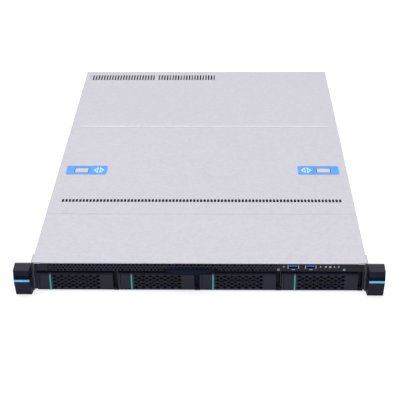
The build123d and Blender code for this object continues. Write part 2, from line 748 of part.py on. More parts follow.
def tray_frame(x0):
    x = (x0, x0 + TRAY_WIDTH)
    open_right = LEVER_X[1] + MOVE_GAP
    windows = [
        rect((x0 + END_WALL, x0 + TEAL_X[0]), WINDOW_Z),
        rect((x0 + TEAL_X[1], x0 + open_right), WINDOW_Z),
    ]
    frame = sheet("y", rect(x, CARRIER_Z), (CARRIER_FACE, FRAME_BACK), windows)
    slot_back = CARRIER_FACE + HINGE_SLOT_DEPTH
    front = CARRIER_FACE - OVERCUT
    slot = block((x0 + open_right, x[1] + OVERCUT), (front, slot_back), (0, CHASSIS_HEIGHT))
    notch = block(shift(TEAL_X, x0), (front, CARRIER_FACE + TEAL_DEPTH), (0, CHASSIS_HEIGHT))
    bore = hole("z", (x0 + HINGE_X, HINGE_Y), HINGE_PIN + RUN_GAP, (0, CHASSIS_HEIGHT))
    return frame - [slot, notch, bore]


def tray(bay):
    x0 = tray_left(bay)
    z = (CARRIER_Z[0], CARRIER_Z[0] + TRAY_RAIL_HEIGHT)
    y = (FRAME_BACK, DRIVE_Y[1] - TRAY_SHORT)
    left = block((x0, x0 + TRAY_RAIL), y, z)
    right = block((x0 + TRAY_WIDTH - TRAY_RAIL, x0 + TRAY_WIDTH), y, z)
    return tray_frame(x0) + [left, right]


def mesh_holes(x0):
    """Mesh of the lever: columns step across, every second one half a cell lower."""
    room = LEVER_X[1] - LEVER_X[0] - MESH_EDGE - MESH_END
    columns = int((room - MESH_CELL[0]) / MESH_STEP[0]) + 1
    rows = int((LEVER_Z[1] - LEVER_Z[0] - MESH_CELL[1]) / MESH_STEP[1]) + 1
    first = x0 + LEVER_X[0] + MESH_EDGE + MESH_CELL[0] / 2
    middle = sum(LEVER_Z) / 2
    holes = []
    for column in range(columns):
        count = rows - column % 2
        for row in range(count):
            z = middle + (row - (count - 1) / 2) * MESH_STEP[1]
            holes.append(mesh_cell(first + column * MESH_STEP[0], z, MESH_CELL))
    return holes


def drive_lever(bay):
    x0 = tray_left(bay)
    back = CARRIER_FACE + LEVER_SHEET
    plate = sheet("y", rect(shift(LEVER_X, x0), LEVER_Z), (CARRIER_FACE, back), mesh_holes(x0))
    axis = (x0 + HINGE_X, HINGE_Y)
    web = block(around(axis[0], 2 * HINGE_WEB), (back, HINGE_Y + HINGE_WEB), LEVER_Z)
    axle = pin("z", axis, HINGE_PIN, (WINDOW_Z[0] - HINGE_BITE, WINDOW_Z[1] + HINGE_BITE))
    return plate + [web, axle]


def release_button(bay):
    x = shift(BUTTON_X, tray_left(bay))
    cap = block(x, (CARRIER_FACE, CARRIER_FACE + BUTTON_DEPTH), LEVER_Z)
    face = cap.faces().sort_by(Axis.Y)[0]
    return chamfer(face.edges(), MOVE_GAP)


def teal_strip(bay):
    x = shift(TEAL_X, tray_left(bay))
    return block(x, (CARRIER_FACE - TEAL_PROUD, CARRIER_FACE + TEAL_DEPTH), CARRIER_Z)


def drive(bay):
    x = tray_left(bay) + TRAY_WIDTH / 2
    outline = Rectangle(DRIVE_SIZE[0], DRIVE_SIZE[1])
    outline = chamfer(outline.vertices(), DRIVE_CORNER)
    lid = Rectangle(DRIVE_SIZE[0] - 2 * DRIVE_RIM, DRIVE_SIZE[1] - 2 * DRIVE_RIM)
    body = extrude(outline, DRIVE_SIZE[2] - DRIVE_LID)
    top = Pos(0, 0, DRIVE_SIZE[2] - DRIVE_LID) * extrude(lid, DRIVE_LID)
    return Pos(x, sum(DRIVE_Y) / 2, DRIVE_Z[0]) * (body + top)


def backplane():
    side = -BAY_LEFT - SHEET_GAP
    z = (SHEET + LIFT, RAIL_UNDER - LIFT)
    air = (CAGE_TOP + SHEET, z[1] - 2 * SHEET)
    windows = []
    plugs = []
    for bay in range(BAYS):
        middle = tray_left(bay) + TRAY_WIDTH / 2
        windows.append(rect(around(middle, DRIVE_SIZE[0] - 4 * DRIVE_RIM), air))
        y = (BACKPLANE_Y - CONNECTOR_SIZE[1], BACKPLANE_Y)
        height = (DRIVE_Z[0] + DRIVE_RIM, DRIVE_Z[0] + DRIVE_RIM + CONNECTOR_SIZE[2])
        plugs.append(block(around(middle, CONNECTOR_SIZE[0]), y, height))
    y = (BACKPLANE_Y, BACKPLANE_Y + BACKPLANE_SHEET)
    return sheet("y", rect((-side, side), z), y, windows) + plugs


def ear_front(z):
    """Front of the ear's lower face at a height: it leans back towards the foot."""
    share = (z - EAR_UNDER) / (STRIPE_Z - EAR_UNDER)
    return -(EAR_FOOT_DEPTH + share * (EAR_NOSE - EAR_FOOT_DEPTH))


def ear_plan():
    """Outline of the ear from above, its inner edge bevelled towards the front."""
    nose = -EAR_NOSE - OVERCUT
    plan = [(EAR_IN, 0), (EAR_OUT, 0), (EAR_OUT, nose), (EAR_IN + EAR_BEVEL, nose)]
    return sheet("z", plan, (0, CHASSIS_HEIGHT + OVERCUT))


def ear_bracket():
    z = (EAR_UNDER, EAR_TOP)
    plan = [
        (HALF, -EAR_SHEET),
        (EAR_OUT, -EAR_SHEET),
        (EAR_OUT, 0),
        (LEG_OUT, 0),
        (LEG_OUT, EAR_LEG),
        (HALF, EAR_LEG),
    ]
    bracket = sheet("z", plan, z)
    thread = RACK_THREAD[0] + SEAT_GAP
    return bracket - hole("y", (RACK_X, RACK_Z), thread, (-2 * EAR_SHEET, EAR_SHEET))


def ear_upper_section():
    stripe_top = STRIPE_Z + STRIPE_HEIGHT
    groove_top = stripe_top + GROOVE_HEIGHT
    seat = -EAR_NOSE + STRIPE_DEPTH
    return [
        (-EAR_SHEET, STRIPE_Z),
        (-EAR_SHEET, EAR_TOP),
        (-EAR_TOP_DEPTH, EAR_TOP - EAR_SLOPE),
        (-EAR_NOSE, groove_top),
        (-EAR_NOSE + GROOVE_DEPTH, groove_top),
        (-EAR_NOSE + GROOVE_DEPTH, stripe_top),
        (seat, stripe_top),
        (seat, STRIPE_Z),
    ]


def ear_housing():
    x = (EAR_IN, EAR_OUT)
    upper = sheet("x", ear_upper_section(), x)
    foot = block(x, (-EAR_FOOT_DEPTH, -EAR_SHEET), (EAR_UNDER, EAR_UNDER + EAR_FOOT))
    spine_y = (FLAP_Y + MOVE_GAP, -EAR_SHEET)
    spine = block((EAR_IN, EAR_IN + SPINE), spine_y, (EAR_UNDER, STRIPE_Z))
    body = (upper + [foot, spine]) & ear_plan()
    head = RACK_HEAD[0] + MOVE_GAP
    reach = -EAR_SHEET - HEAD_STAND - RACK_HEAD[1] - MOVE_GAP
    well = hole("y", (RACK_X, RACK_Z), head, (reach, 0), BORE_SIDES)
    bore = hole("z", (FLAP_X, FLAP_Y), FLAP_PIN + RUN_GAP, (0, STRIPE_Z + FLAP_PIN_BITE + MOVE_GAP))
    return body - [well, bore]


def ear_stripe():
    y = (-EAR_NOSE - STRIPE_PROUD, -EAR_NOSE + STRIPE_DEPTH)
    bar = block((EAR_IN, EAR_OUT), y, (STRIPE_Z, STRIPE_Z + STRIPE_HEIGHT))
    return bar & ear_plan()


def ear_flap():
    low, high = FLAP_Z
    front_low, front_high = ear_front(low), ear_front(high)
    section = [(FLAP_Y, low), (FLAP_Y, high), (front_high, high), (front_low, low)]
    shell = sheet("x", section, (EAR_IN, EAR_OUT)) & ear_plan()
    floor = low + FLAP_WALL
    inside = [
        (0, floor),
        (0, high + OVERCUT),
        (ear_front(high + OVERCUT) + FLAP_WALL, high + OVERCUT),
        (ear_front(floor) + FLAP_WALL, floor),
    ]
    hollow = sheet("x", inside, (EAR_IN + EAR_BEVEL + FLAP_WALL, EAR_OUT - FLAP_WALL))
    barrel = pin("z", (FLAP_X, FLAP_Y), FLAP_BARREL, FLAP_Z)
    axle = pin("z", (FLAP_X, FLAP_Y), FLAP_PIN, (EAR_UNDER + MOVE_GAP, STRIPE_Z + FLAP_PIN_BITE))
    return shell - hollow + [barrel, axle]


def rack_screw():
    at = (RACK_X, RACK_Z)
    head_back = -EAR_SHEET - HEAD_STAND
    head = pin("y", at, RACK_HEAD[0], (head_back - RACK_HEAD[1], head_back), BORE_SIDES)
    neck = pin("y", at, RACK_NECK, (head_back, SHEET))
    thread = rod("y", at, RACK_THREAD[0], (SHEET, SHEET + RACK_THREAD[1]))
    front = head_back - RACK_HEAD[1]
    width = 2 * (RACK_HEAD[0] + OVERCUT)
    depth = (front - OVERCUT, front + RACK_SLOT)
    slot = block(around(RACK_X, width), depth, around(RACK_Z, RACK_SLOT))
    return head + [neck, thread] - slot


def fan_x(index):
    return (index - (FANS - 1) / 2) * FAN_SPACING


def fan_frame(index):
    at = (fan_x(index), FAN_Z)
    back = FAN_Y + FAN_DEPTH
    half_step = math.pi / BORE_SIDES
    bore = regular(at, FAN_BORE / math.cos(half_step), BORE_SIDES, half_step)
    outline = rect(around(at[0], FAN_SIZE), around(at[1], FAN_SIZE))
    frame = sheet("y", outline, (FAN_Y, back), [bore])
    plate = (back - FAN_PLATE, back)
    strut = block(around(at[0], 2 * FAN_BORE + OVERCUT), plate, around(at[1], FAN_STRUT))
    seat = pin("y", at, FAN_HUB, plate)
    return frame + [strut, seat] - hole("y", at, FAN_SHAFT + RUN_GAP, (FAN_Y, back + OVERCUT))


def fan_rotor(index):
    at = (fan_x(index), FAN_Z)
    hub_y = (FAN_Y + SHEET, FAN_Y + FAN_DEPTH - FAN_PLATE - MOVE_GAP)
    hub = sheet("y", regular(at, FAN_HUB, BLADES, math.pi / BLADES), hub_y)
    shaft = pin("y", at, FAN_SHAFT, (hub_y[0], FAN_Y + FAN_DEPTH - SHEET))
    span = FAN_TIP - FAN_HUB + FAN_SHAFT
    vane = Pos(FAN_TIP - span / 2, 0, 0) * Rot(BLADE_PITCH, 0, 0) * Box(span, BLADE_CHORD, BLADE_SHEET)
    middle = Pos(at[0], sum(hub_y) / 2, at[1])
    vanes = [middle * Rot(0, 360 * k / BLADES, 0) * vane for k in range(BLADES)]
    return hub + [shaft] + vanes


def memory_rows():
    """X of each memory module in its row: one row on both sides of each processor."""
    offset = SINK_SIZE[0] / 2 + MODULE_CLEAR
    steps = [offset + k * MODULE_PITCH for k in range(MODULES_PER_SIDE)]
    return [[x + side * step for step in steps] for x in PROCESSOR_X for side in (-1, 1)]


def motherboard():
    board = block(BOARD_X, BOARD_Y, BOARD_Z)
    top = BOARD_Z[1]
    parts = []
    for x in PROCESSOR_X:
        z = (top, top + SOCKET_SIZE[2])
        parts.append(block(around(x, SOCKET_SIZE[0]), around(PROCESSOR_Y, SOCKET_SIZE[1]), z))
    z = (top, top + MODULE_SLOT[2])
    for row in memory_rows():
        x = (min(row) - MODULE_SLOT[0] / 2, max(row) + MODULE_SLOT[0] / 2)
        parts.append(block(x, around(PROCESSOR_Y, MODULE_SLOT[1]), z))
    return board + parts


def memory_module(x):
    z = (BOARD_Z[1] + MODULE_SLOT[2], COVER_UNDER - MODULE_HEADROOM)
    return block(around(x, MODULE_SIZE[0]), around(PROCESSOR_Y, MODULE_SIZE[1]), z)


def heatsink(x):
    """A finned section drawn across the air flow and extruded along it."""
    low = BOARD_Z[1] + SOCKET_SIZE[2]
    base_top = low + SINK_BASE
    side = around(x, SINK_SIZE[0])
    pitch = (SINK_SIZE[0] - FIN_SHEET) / (SINK_FINS - 1)
    top = COVER_UNDER - SINK_HEADROOM
    outline = [(side[0], low), (side[1], low)]
    for k in reversed(range(SINK_FINS)):
        left = side[0] + k * pitch
        right = left + FIN_SHEET
        outline += [(right, base_top)] if k < SINK_FINS - 1 else []
        outline += [(right, top), (left, top)]
        outline += [(left, base_top)] if k > 0 else []
    return sheet("y", outline, around(PROCESSOR_Y, SINK_SIZE[1]))


def slot_cover():
    x = (CARD_SLOT[0] + SHEET_GAP, CARD_SLOT[1] - SHEET_GAP)
    z = (CARD_Z[0] + SHEET_GAP, CARD_Z[1] - SHEET_GAP)
    plate = block(x, (CHASSIS_DEPTH - SHEET, CHASSIS_DEPTH), z)
    front = CHASSIS_DEPTH - SHEET - CARD_FOLD
    fold = block(x, (front, CHASSIS_DEPTH - SHEET), (z[1] - SHEET, z[1]))
    return plate + fold


def port_body(x, size):
    back = CHASSIS_DEPTH + PORT_PROUD
    return block(around(x, size[0]), (back - size[1], back), (BOARD_Z[1], BOARD_Z[1] + size[2]))


def port_hole(x, size, low):
    back = CHASSIS_DEPTH + PORT_PROUD
    return block(around(x, size[0]), (back - size[1], back + OVERCUT), (low, low + size[2]))


def rear_ports():
    base = BOARD_Z[1]
    ports = [port_body(x, JACK_SIZE) - port_hole(x, JACK_HOLE, base + JACK_WALL) for x in JACK_X]
    step = HOST_HOLE[2] + HOST_WALL
    host = port_body(HOST_X, HOST_SIZE)
    host -= [port_hole(HOST_X, HOST_HOLE, base + HOST_WALL + k * step) for k in (0, 1)]
    return group(ports + [host, display_port(base)])


def display_port(base):
    body = port_body(DISPLAY_X, DISPLAY_SIZE)
    back = CHASSIS_DEPTH + PORT_PROUD
    middle = base + DISPLAY_SIZE[2] / 2
    wide, low, high = DISPLAY_SHELL[0] / 2, middle - DISPLAY_SHELL[2] / 2, middle + DISPLAY_SHELL[2] / 2
    wall = DISPLAY_WALL
    outer = [(DISPLAY_X - wide + wall, low), (DISPLAY_X + wide - wall, low)]
    outer += [(DISPLAY_X + wide, high), (DISPLAY_X - wide, high)]
    inner = [(DISPLAY_X - wide + 2 * wall, low + wall), (DISPLAY_X + wide - 2 * wall, low + wall)]
    inner += [(DISPLAY_X + wide - wall, high - wall), (DISPLAY_X - wide + wall, high - wall)]
    return body + sheet("y", outer, (back, back + DISPLAY_SHELL[1]), [inner])


def supply_left(index):
    return SUPPLY_LEFT + index * (SUPPLY_SIZE[0] + SUPPLY_SPLIT)


def supply_cage():
    front = SUPPLY_Y[0] - SUPPLY_BOARD_GAP
    y = (front, CHASSIS_DEPTH - SHEET - SHEET_GAP)
    left = SUPPLY_LEFT - MOVE_GAP - CAGE_SHEET
    low, high = SUPPLY_Z[1] + MOVE_GAP, SUPPLY_Z[1] + MOVE_GAP + CAGE_SHEET
    top = block((left, RAIL_IN - SHEET_GAP), y, (low, high))
    walls = [block((left, left + CAGE_SHEET), y, (SHEET, low))]
    for index in range(1, SUPPLIES):
        x = around(supply_left(index) - SUPPLY_SPLIT / 2, CAGE_SHEET)
        walls.append(block(x, y, (SHEET, low)))
    return top + walls


def supply_board():
    rear = SUPPLY_Y[0] - SUPPLY_BOARD_GAP
    x = (SUPPLY_LEFT - MOVE_GAP, SUPPLY_RIGHT)
    return block(x, (rear - SUPPLY_BOARD, rear), (SHEET, SUPPLY_Z[1]))


def supply_grip(x0):
    face = SUPPLY_Y[1]
    x = shift(GRIP, x0)
    outer = [(x[0], face), (x[0], face + GRIP_REACH), (x[1], face + GRIP_REACH), (x[1], face)]
    inner = [
        (x[1] - GRIP_BAR, face),
        (x[1] - GRIP_BAR, face + GRIP_REACH - GRIP_BAR),
        (x[0] + GRIP_BAR, face + GRIP_REACH - GRIP_BAR),
        (x[0] + GRIP_BAR, face),
    ]
    top = SUPPLY_Z[1] - GRIP_DROP
    return sheet("z", outer + inner, (top - GRIP_HEIGHT, top))


def release_x(x0):
    return x0 + SUPPLY_SIZE[0] - RELEASE_SIDE


def supply_lugs(x0):
    """Two lugs on the supply's face that carry the release latch."""
    low = SUPPLY_Z[0] + RELEASE_LIFT
    high = low + RELEASE_HEIGHT
    x = around(release_x(x0), 2 * RELEASE_BARREL)
    y = (SUPPLY_Y[1], RELEASE_Y + RELEASE_BARREL)
    under = (low - MOVE_GAP - RELEASE_LUG, low - MOVE_GAP)
    over = (high + MOVE_GAP, high + MOVE_GAP + RELEASE_LUG)
    return [block(x, y, z) for z in (under, over)]


def supply(index):
    x0 = supply_left(index)
    case = block((x0, x0 + SUPPLY_SIZE[0]), SUPPLY_Y, SUPPLY_Z)
    inlet_z = (SUPPLY_Z[0] + INLET_LIFT, SUPPLY_Z[0] + INLET_LIFT + INLET_HEIGHT)
    floor = SUPPLY_Y[1] - INLET_DEPTH
    cuts = [block(shift(INLET_X, x0), (floor, SUPPLY_Y[1] + OVERCUT), inlet_z)]
    pitch = INLET_HEIGHT / EXHAUST_SLOTS
    right = x0 + SUPPLY_SIZE[0] - EXHAUST_SIDE
    depth = (SUPPLY_Y[1] - EXHAUST_DEPTH, SUPPLY_Y[1] + OVERCUT)
    for k in range(EXHAUST_SLOTS):
        z = around(inlet_z[0] + (k + 0.5) * pitch, EXHAUST_HEIGHT)
        cuts.append(block((right - EXHAUST_WIDTH, right), depth, z))
    middle = (x0 + sum(INLET_X) / 2, sum(inlet_z) / 2)
    pins = []
    for dx, dz in ((-1, -1), (1, -1), (0, 1)):
        x = around(middle[0] + dx * BLADE_PIN_OFFSET, BLADE_PIN[0])
        z = around(middle[1] + dz * BLADE_PIN_RISE, BLADE_PIN[2])
        pins.append(block(x, (floor, floor + BLADE_PIN[1]), z))
    body = case - cuts + pins + [supply_grip(x0)] + supply_lugs(x0)
    return body - hole("z", (release_x(x0), RELEASE_Y), RELEASE_PIN + RUN_GAP, (0, CHASSIS_HEIGHT))


def supply_latch(index):
    axis = (release_x(supply_left(index)), RELEASE_Y)
    low = SUPPLY_Z[0] + RELEASE_LIFT
    z = (low, low + RELEASE_HEIGHT)
    tab = block(around(axis[0], RELEASE_SHEET), (RELEASE_Y, RELEASE_Y + RELEASE_REACH), z)
    barrel = pin("z", axis, RELEASE_BARREL, z)
    bite = MOVE_GAP + RELEASE_LUG / 2
    return tab + [barrel, pin("z", axis, RELEASE_PIN, (z[0] - bite, z[1] + bite))]


def chassis_nodes():
    return {
        "chassis_tub": chassis_tub(),
        "rear_panel": rear_panel(),
        "front_cover": front_cover(),
        "drive_cage": drive_cage(),
        "front_bezel": front_bezel(),
        "control_panel": control_panel(),
        "usb_shells": group(usb_shell(x) for x in USB_X),
        "usb_tongues": group(usb_tongue(x) for x in USB_X),
        "ear_brackets": with_mirror(ear_bracket()),
        "ear_housings": with_mirror(ear_housing()),
        "ear_stripes": with_mirror(ear_stripe()),
        "motherboard": motherboard(),
        "heatsinks": group(heatsink(x) for x in PROCESSOR_X),
        "memory_modules": group(memory_module(x) for row in memory_rows() for x in row),
        "fan_frames": group(fan_frame(k) for k in range(FANS)),
        "backplane": backplane(),
        "slot_cover": slot_cover(),
        "rear_ports": rear_ports(),
        "supply_cage": supply_cage(),
        "supply_board": supply_board(),
    }


def moving_nodes():
    nodes = {
        "top_cover": top_cover(),
        "cover_labels": group(cover_label(side) for side in (-1, 1)),
        "cover_latch_left": cover_latch(-1),
        "cover_latch_right": cover_latch(1),
        "power_button": switch(POWER_X, POWER_RADIUS),
        "identify_button": switch(IDENTIFY_X, IDENTIFY_RADIUS),
        "pull_tag": pull_tag(),
        "ear_flap_right": ear_flap(),
        "rack_screw_right": rack_screw(),
    }
    for piece in ("ear_flap", "rack_screw"):
        nodes[f"{piece}_left"] = mirror(nodes[f"{piece}_right"], about=Plane.YZ)
    return nodes


def repeated_nodes():
    nodes = {}
    for bay in range(BAYS):
        nodes[f"tray_{bay + 1}"] = tray(bay)
        nodes[f"drive_{bay + 1}"] = drive(bay)
        nodes[f"drive_lever_{bay + 1}"] = drive_lever(bay)
        nodes[f"release_button_{bay + 1}"] = release_button(bay)
        nodes[f"teal_strip_{bay + 1}"] = teal_strip(bay)
    for fan in range(FANS):
        nodes[f"fan_rotor_{fan + 1}"] = fan_rotor(fan)
    for index in range(SUPPLIES):
        nodes[f"supply_{index + 1}"] = supply(index)
        nodes[f"supply_latch_{index + 1}"] = supply_latch(index)
    return nodes


def main():
    os.makedirs("parts", exist_ok=True)
    nodes = chassis_nodes() | moving_nodes() | repeated_nodes()
    for name, piece in nodes.items():
        export_step(piece, f"parts/{name}.step")


main()
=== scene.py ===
import json
import math

import bmesh
import bpy
from mathutils import Matrix, Vector


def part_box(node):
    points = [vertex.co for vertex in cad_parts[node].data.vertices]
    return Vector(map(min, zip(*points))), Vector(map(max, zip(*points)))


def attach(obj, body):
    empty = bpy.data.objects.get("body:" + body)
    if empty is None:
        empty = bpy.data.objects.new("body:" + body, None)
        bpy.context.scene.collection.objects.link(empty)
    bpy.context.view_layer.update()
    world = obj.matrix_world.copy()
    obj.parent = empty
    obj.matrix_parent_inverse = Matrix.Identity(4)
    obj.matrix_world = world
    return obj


# A 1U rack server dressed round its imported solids, in metres and in the solids' own frame:
# X runs to the right seen from the front, Y from front to rear and Z up.
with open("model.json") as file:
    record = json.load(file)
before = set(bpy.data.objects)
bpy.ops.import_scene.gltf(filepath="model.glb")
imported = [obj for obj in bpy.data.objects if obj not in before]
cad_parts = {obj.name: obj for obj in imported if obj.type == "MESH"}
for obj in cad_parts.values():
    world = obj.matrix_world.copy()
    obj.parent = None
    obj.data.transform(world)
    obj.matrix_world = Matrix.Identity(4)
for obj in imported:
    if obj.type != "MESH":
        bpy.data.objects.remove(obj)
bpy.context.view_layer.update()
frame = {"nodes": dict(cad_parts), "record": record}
NODES = frame["nodes"]
BAYS = (1, 2, 3, 4)
MM = 0.001
QUARTER_TURN = math.pi / 2

# Camera, as fitted to the photograph: focal length in millimetres, place, angles in radians, clipping
LENS = 94.04
CAMERA_AT = (0.030642, -1.148452, 0.783407)
CAMERA_PITCH = 0.51219
CAMERA_YAW = -0.02462
CAMERA_ROLL = -0.01024
CAMERA_CLIP = (0.05, 50.0)

# Stage: the floor's size, place and finish, and the light of the world
FLOOR_HALF = 6.0
FLOOR_DROP = 0.2 * MM
FLOOR_ALBEDO = 0.5
FLOOR_ROUGHNESS = 0.9
FLOOR_GLOW = 0.62
WORLD_LIGHT = 0.55

# Lamps: place, aim, size and power
LAMPS = {
    "top_light": ((-0.3, 0.2, 2.2), (0.0, 0.3, 0.0), (2.4, 2.0), 34.0),
    "front_light": ((0.5, -2.4, 1.3), (0.0, 0.0, 0.02), (1.8, 1.0), 22.0),
}

# Linear colours
WHITE = (1.0, 1.0, 1.0)
ZINC = (0.624, 0.611, 0.670)
NICKEL = (0.60, 0.60, 0.64)
ALUMINIUM = (0.55, 0.56, 0.58)
PAD_METAL = (0.66, 0.62, 0.66)
BLACK_PLASTIC = (0.0158, 0.0158, 0.0295)
BLACK_PAINT = (0.0155, 0.0185, 0.034)
PANEL_BLACK = (0.0125, 0.0122, 0.0200)
# The pull-out tag's own black, which is also the tone of painted shade on the carriers, the teal strips and
# in sockets
TAG_BLACK_AND_SHADE = (0.0060, 0.0085, 0.0180)
PAINTED_HOLE_SHADE = (0.0006, 0.0008, 0.0016)
FLOOR_PAINTED_SHADE = (0.050, 0.052, 0.068)
EAR_NAVY = (0.0015, 0.0025, 0.011)
EAR_PAINTED_LIGHT = (0.040, 0.037, 0.047)
DRIVE_GREY = (0.010, 0.010, 0.012)
LABEL_BLUE = (0.08, 0.33, 0.86)
STRIPE_BLUE = (0.17, 0.60, 1.0)
USB_BLUE = (0.06, 0.20, 0.72)
TEAL = (0.072, 0.380, 0.36)
BOARD_GREEN = (0.012, 0.075, 0.035)
PRINT_WHITE = (0.47, 0.48, 0.50)
PRINT_PALE = (0.62, 0.80, 0.95)

# Specular levels
GLOSS = 0.3
BLACK_GLOSS = 0.18
FLOOR_GLOSS = 0.1
TAG_GLOSS = 0.06
EAR_GLOSS = 0.06

# Patterns, as the scale and detail of a noise and, for some, its stretch along X, Y and Z
DRIFT = (45.0, 3.0)
CLOUD = (9.0, 3.0)
ROLLING = (90.0, 3.0, (0.06, 3.0, 3.0))
BRUSHED = (160.0, 4.0, (0.15, 4.0, 4.0))
MASK = (30.0, 4.0)
TRACES = (700.0, 1.0, (1.0, 0.12, 1.0))
GRAIN_DETAIL = 2.0
FINE_GRAIN = 2400.0
PAINT_GRAIN = 1500.0
FILM_GRAIN = 900.0
SPANGLE = 260.0

# Shares of the patterns in galvanised sheet
SPANGLE_SHARE = 0.55
CLOUD_SHARE = 0.2
ROLLING_SHARE = 0.25

# Sockets of a mix node that hold colours: share, ground and tone, and the mixed colour
MIX_INPUTS = (0, 6, 7)
MIX_OUTPUT = 2

# The part of a pattern's range that is used
PATTERN_SPAN = (0.25, 0.75)
TRACE_SPAN = (0.45, 0.6)

# Looks of each kind of finish: lowest and highest shade of its colour, roughness, and the strength and
# height of its bumps
ZINC_SHADES = (0.96, 1.04)
ZINC_METALLIC = 0.45
ZINC_ROUGHNESS = (0.46, 0.58)
ZINC_BUMP = (0.03, 0.2 * MM)
PLATED_SHADES = (0.85, 1.1)
PLATED_ROUGHNESS = (0.24, 0.38)
PLATED_BUMP = (0.08, 0.05 * MM)
GRAIN_SHADES = (0.82, 1.2)
GRAIN_UNEVEN = 0.07
GRAIN_BUMP = (0.18, 0.06 * MM)
EAR_SHADES = (0.9, 1.15)
EAR_UNEVEN = 0.06
BOARD_SHADES = (0.7, 1.5)
BOARD_ROUGHNESS = (0.28, 0.42)
BOARD_BUMP = (0.2, 0.05 * MM)
LABEL_SHADES = (0.86, 1.14)
LABEL_ROUGHNESS = (0.3, 0.42)
LABEL_BUMP = (0.1, 0.03 * MM)

# Bands of tone along an axis of a piece: a span, how far the tone covers the ground, and the tone.
# The ears are paler on top, painted light, and darkest above the stripe. The carriers and their teal strips
# carry painted shade under the front strip, and the front strip carries painted shade in a groove and behind
# its punched sheet. The tub's floor carries painted shade from its front up to an edge.
EAR_BANDS = (
    ((27.0 * MM, 33.4 * MM), 0.95, EAR_NAVY),
    ((33.6 * MM, 40.9 * MM), 0.2, EAR_NAVY),
    # painted light: the ears' top, paler than the rest of the moulding
    ((41.0 * MM, 44.0 * MM), 0.85, EAR_PAINTED_LIGHT),
)
# painted shade: the tops of the carriers and of their teal strips, under the front strip
CARRIER_SHADE_BANDS = (((24.9 * MM, 26.5 * MM), 0.9, TAG_BLACK_AND_SHADE),)
TEAL_SHADE_BANDS = (((24.9 * MM, 27.2 * MM), 0.75, TAG_BLACK_AND_SHADE),)
BEZEL_SHADE_BANDS = (
    # painted shade: a dark groove beside the blank block
    ((-214.9 * MM, -213.7 * MM), 0.95, PAINTED_HOLE_SHADE),
    # painted shade: the strip's face behind the punched sheet, dark through its holes
    ((-199.3 * MM, 101.6 * MM), 0.95, PAINTED_HOLE_SHADE),
)
FLOOR_SHADE_EDGE = 9.0 * MM

# Moulded and painted finishes: colour, roughness, scale of the grain, specular level and, for some, an axis
# with the bands along it, shades and unevenness of the roughness
GRAINED = {
    "black_steel": (BLACK_PAINT, 0.46, PAINT_GRAIN, BLACK_GLOSS),
    "bezel_paint_painted_shade": (BLACK_PAINT, 0.46, PAINT_GRAIN, BLACK_GLOSS, "X", BEZEL_SHADE_BANDS),
    "black_plastic": (BLACK_PLASTIC, 0.42, FINE_GRAIN, BLACK_GLOSS),
    "carrier_plastic_painted_shade": (BLACK_PLASTIC, 0.42, FINE_GRAIN, BLACK_GLOSS, "Z", CARRIER_SHADE_BANDS),
    "ear_plastic_painted_light": (BLACK_PLASTIC, 0.46, FINE_GRAIN, EAR_GLOSS, "Z", EAR_BANDS, EAR_SHADES, EAR_UNEVEN),
    "panel_plastic": (PANEL_BLACK, 0.42, FINE_GRAIN, BLACK_GLOSS),
    "tag_plastic": (TAG_BLACK_AND_SHADE, 0.65, FINE_GRAIN, TAG_GLOSS),
    # painted shade: the dark insides of sockets and recesses
    "painted_shade_dark": (TAG_BLACK_AND_SHADE, 0.6, FINE_GRAIN, BLACK_GLOSS),
    "fan_plastic": (BLACK_PAINT, 0.5, FINE_GRAIN, GLOSS),
    "drive_case": (DRIVE_GREY, 0.55, FILM_GRAIN, GLOSS),
    "usb_blue": (USB_BLUE, 0.4, FINE_GRAIN, GLOSS),
    "stripe_blue": (STRIPE_BLUE, 0.3, FILM_GRAIN, GLOSS),
    "teal_plastic": (TEAL, 0.4, FINE_GRAIN, GLOSS, "Z", TEAL_SHADE_BANDS),
    "latch_teal": (TEAL, 0.4, FINE_GRAIN, GLOSS),
    "white_print": (PRINT_WHITE, 0.5, FILM_GRAIN, GLOSS),
}

# Galvanised finishes, as shades of zinc, and plated ones by their colour
GALVANISED = {
    "galvanised_steel": 1.0,
    "supply_case": 0.85,
    "bracket_zinc": 0.8,
    # painted shade: zinc dimmed for cut edges and rims that stand in shade
    "painted_shade_zinc": 0.1,
    # painted highlight and painted shade: the lit and the shaded side of the lid's bead
    "bead_painted_highlight": 1.4,
    "bead_painted_shade": 0.72,
}
PLATED = {
    "bright_steel": NICKEL,
    "port_metal": NICKEL,
    "bare_aluminium": ALUMINIUM,
}

# Print on the cover labels: two arrow heads that point apart, by their tips' and bases' distance from the
# middle of the lid, half the width of the base, the width of the line, and the shares of the length that
# are hollow and that are drawn at all
ARROWS = ((149.5 * MM, 156.5 * MM), (165.8 * MM, 158.8 * MM))
ARROW_RISE = 9.5 * MM
ARROW_LINE = 0.38 * ARROW_RISE
ARROW_HOLLOW = 0.84
ARROW_SPAN = (0.001, 0.999)

# Solids that are painted all over with another finish than their slot's
CARRIER_NODES = [f"{piece}_{bay}" for piece in ("tray", "drive_lever", "release_button") for bay in BAYS]
REPAINTED = {
    "pull_tag": "tag_plastic",
    "ear_brackets": "bracket_zinc",
    "ear_housings": "ear_plastic_painted_light",
    "ear_flap_left": "ear_plastic_painted_light",
    "ear_flap_right": "ear_plastic_painted_light",
    # painted shade: the drive cage, galvanised in its slot, is painted black all over, as it stands in shade
    # between and above the carriers
    "drive_cage": "black_steel",
    "control_panel": "panel_plastic",
    "front_bezel": "bezel_paint_painted_shade",
}
REPAINTED.update({name: "carrier_plastic_painted_shade" for name in CARRIER_NODES})

# Faces that are painted by where they look: squarely along an axis, or leaning towards it
FACING = 0.9
LEANING = 0.5

